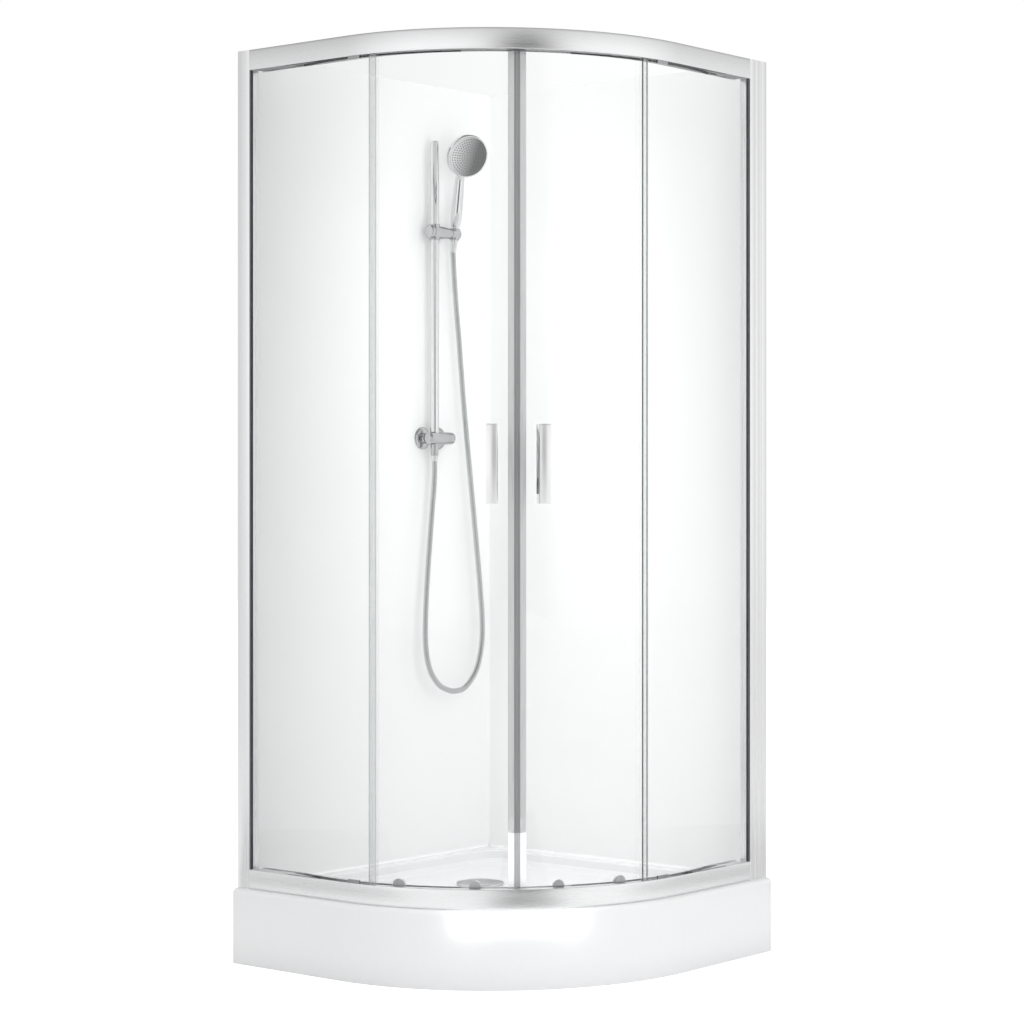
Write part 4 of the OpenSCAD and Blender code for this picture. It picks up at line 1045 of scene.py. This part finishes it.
o = add_parts("spray_plate", parts, [nozzle_face_painted_shade], 30)
put(o, "handset", "grey_plastic", "spray_face")
tip = [(2.1, 8.7), (1.9, 9.5), (1.4, 9.9), (0.3, 9.95)]
parts = []
for radius, count in ((6, 6), (12, 12), (18.5, 18), (25, 24), (31.5, 30), (38, 36), (44.5, 42)):
    for k in range(count):
        a = 2 * math.pi * (k + 0.5 * (count // 6 % 2)) / count
        parts.append(lathe(tip, head @ move(radius * math.cos(a), radius * math.sin(a), 0), 8))
o = add_parts("spray_nozzles", parts, [nozzle_tip], 40)
put(o, "handset", "grey_plastic")

# Floor, lamps and world
def plane(name, size, z):
    me = bpy.data.meshes.new(name)
    me.from_pydata([(-size, -size, z), (size, -size, z), (size, size, z), (-size, size, z)], [], [(0, 1, 2, 3)])
    o = bpy.data.objects.new(name, me)
    scene.collection.objects.link(o)
    return o


floor = plane("studio_floor", 14, 0.0)
fm = material("studio_floor", (0.9, 0.9, 0.9), 0.9, spec=0.1)
nt = fm.node_tree
lp = nt.nodes.new("ShaderNodeLightPath")
em = nt.nodes.new("ShaderNodeEmission")
em.inputs["Color"].default_value = (1, 1, 1, 1)
white = nt.nodes.new("ShaderNodeMath")
white.operation = "MAXIMUM"
nt.links.new(lp.outputs["Is Camera Ray"], white.inputs[0])
nt.links.new(lp.outputs["Is Transmission Ray"], white.inputs[1])
in_metal = nt.nodes.new("ShaderNodeMath")
in_metal.operation = "MULTIPLY"
in_metal.inputs[1].default_value = 0.12
nt.links.new(lp.outputs["Is Glossy Ray"], in_metal.inputs[0])
scale_n = nt.nodes.new("ShaderNodeMath")
scale_n.operation = "MULTIPLY_ADD"
scale_n.inputs[1].default_value = 0.5
nt.links.new(white.outputs[0], scale_n.inputs[0])
nt.links.new(in_metal.outputs[0], scale_n.inputs[2])
nt.links.new(scale_n.outputs[0], em.inputs["Strength"])
add = nt.nodes.new("ShaderNodeAddShader")
nt.links.new(principled(fm).outputs["BSDF"], add.inputs[0])
nt.links.new(em.outputs["Emission"], add.inputs[1])
nt.links.new(add.outputs["Shader"], nt.nodes["Material Output"].inputs["Surface"])
floor.data.materials.append(fm)


STUDIO_AZ = math.radians(53)


def towards(azimuth, distance=1.0, z=0.0):
    """Point in a direction given in degrees from the studio's middle, to the right as the camera sees it."""
    a = STUDIO_AZ + math.radians(azimuth)
    return Vector((math.sin(a) * distance, -math.cos(a) * distance, z))


def lamp(name, place, size_x, size_y, power, target=(0, 0, 1.0)):
    """Soft box that lights surfaces; metal and glass show the world's studio instead."""
    data = bpy.data.lights.new(name, "AREA")
    data.shape = "RECTANGLE"
    data.size, data.size_y = size_x, size_y
    data.energy = power
    o = bpy.data.objects.new(name, data)
    scene.collection.objects.link(o)
    o.location = place
    o.rotation_euler = (Vector(target) - Vector(place)).to_track_quat("-Z", "Y").to_euler()
    o.visible_glossy = False
    return o


lamp("key_left", towards(-65, 4.2, 2.4), 1.6, 3.0, 10)
lamp("fill_right", towards(25, 4.2, 2.2), 2.0, 3.0, 40)
lamp("top_soft", (0.1, -0.1, 5.0), 3.0, 3.0, 80, (0, 0, 0))
inner = lamp("cabin_soft", (0.14, -0.14, 1.05), 0.3, 1.9, 1.9, (-0.45, 0.45, 0.85))
inner.visible_camera = False

# Grey cards on the floor in front, seen only in the metal's reflections
def card(name, azimuth, distance, wide, deep, tone):
    o = plane(name, 0.5, 0.004)
    o.scale = (wide, deep, 1)
    o.location = towards(azimuth, distance)
    o.rotation_euler = (0, 0, STUDIO_AZ + math.radians(azimuth))
    o.data.materials.append(plain(name, (tone, tone, tone), (tone * 0.9, tone * 0.9, tone * 0.9), 0.9))
    o.visible_camera = False
    o.visible_diffuse = False
    o.visible_shadow = False


card("dark_card", -2, 2.2, 0.7, 2.4, 0.26)
card("grey_card_left", -82, 2.1, 1.6, 1.4, 0.55)
card("grey_card_right", 76, 2.1, 1.6, 1.4, 0.6)

world = bpy.data.worlds.new("studio")
scene.world = world
world.use_nodes = True
wt = world.node_tree
wt.nodes.clear()


def world_math(operation, *values):
    n = wt.nodes.new("ShaderNodeMath")
    n.operation = operation
    for i, v in enumerate(values):
        if isinstance(v, (int, float)):
            n.inputs[i].default_value = v
        else:
            wt.links.new(v, n.inputs[i])
    return n.outputs[0]


def background(strength):
    n = wt.nodes.new("ShaderNodeBackground")
    n.inputs["Color"].default_value = (1, 1, 1, 1)
    n.inputs["Strength"].default_value = strength
    return n


def mix_by(factor, a, b):
    n = wt.nodes.new("ShaderNodeMixShader")
    wt.links.new(factor, n.inputs["Fac"])
    wt.links.new(a, n.inputs[1])
    wt.links.new(b, n.inputs[2])
    return n.outputs["Shader"]


out = wt.nodes.new("ShaderNodeOutputWorld")
lp = wt.nodes.new("ShaderNodeLightPath")
ambient = background(0.72)
seen = background(1.0)
studio = background(1.25)
where = wt.nodes.new("ShaderNodeTexCoord")
dot = wt.nodes.new("ShaderNodeVectorMath")
dot.operation = "DOT_PRODUCT"
dot.inputs[1].default_value = towards(0)
wt.links.new(where.outputs["Generated"], dot.inputs[0])
angle = world_math("DIVIDE", world_math("ARCCOSINE", dot.outputs["Value"]), math.pi)
ramp = wt.nodes.new("ShaderNodeValToRGB")
cr = ramp.color_ramp
TONES = [(0, 0.03), (11, 0.05), (15, 0.7), (22, 0.96), (32, 1.0), (62, 1.0), (78, 0.88), (88, 0.78), (96, 0.7),
         (112, 0.58), (140, 0.62), (180, 0.74)]
for i, (deg, val) in enumerate(TONES):
    el = cr.elements[0] if i == 0 else cr.elements[-1] if i == len(TONES) - 1 else cr.elements.new(deg / 180)
    el.position = deg / 180
    el.color = (val, val, val, 1)
wt.links.new(angle, ramp.inputs["Fac"])
height = wt.nodes.new("ShaderNodeSeparateXYZ")
wt.links.new(where.outputs["Generated"], height.inputs["Vector"])
dim = wt.nodes.new("ShaderNodeMapRange")
dim.inputs["From Min"].default_value = 0.1
dim.inputs["From Max"].default_value = 0.5
dim.inputs["To Min"].default_value = 1.0
dim.inputs["To Max"].default_value = 0.35
wt.links.new(height.outputs["Z"], dim.inputs["Value"])
shade = wt.nodes.new("ShaderNodeVectorMath")
shade.operation = "SCALE"
wt.links.new(ramp.outputs["Color"], shade.inputs[0])
wt.links.new(dim.outputs["Result"], shade.inputs["Scale"])
wt.links.new(shade.outputs["Vector"], studio.inputs["Color"])
in_metal = mix_by(lp.outputs["Is Glossy Ray"], ambient.outputs["Background"], studio.outputs["Background"])
direct = world_math("MAXIMUM", lp.outputs["Is Camera Ray"], lp.outputs["Is Transmission Ray"])
wt.links.new(mix_by(direct, in_metal, seen.outputs["Background"]), out.inputs["Surface"])
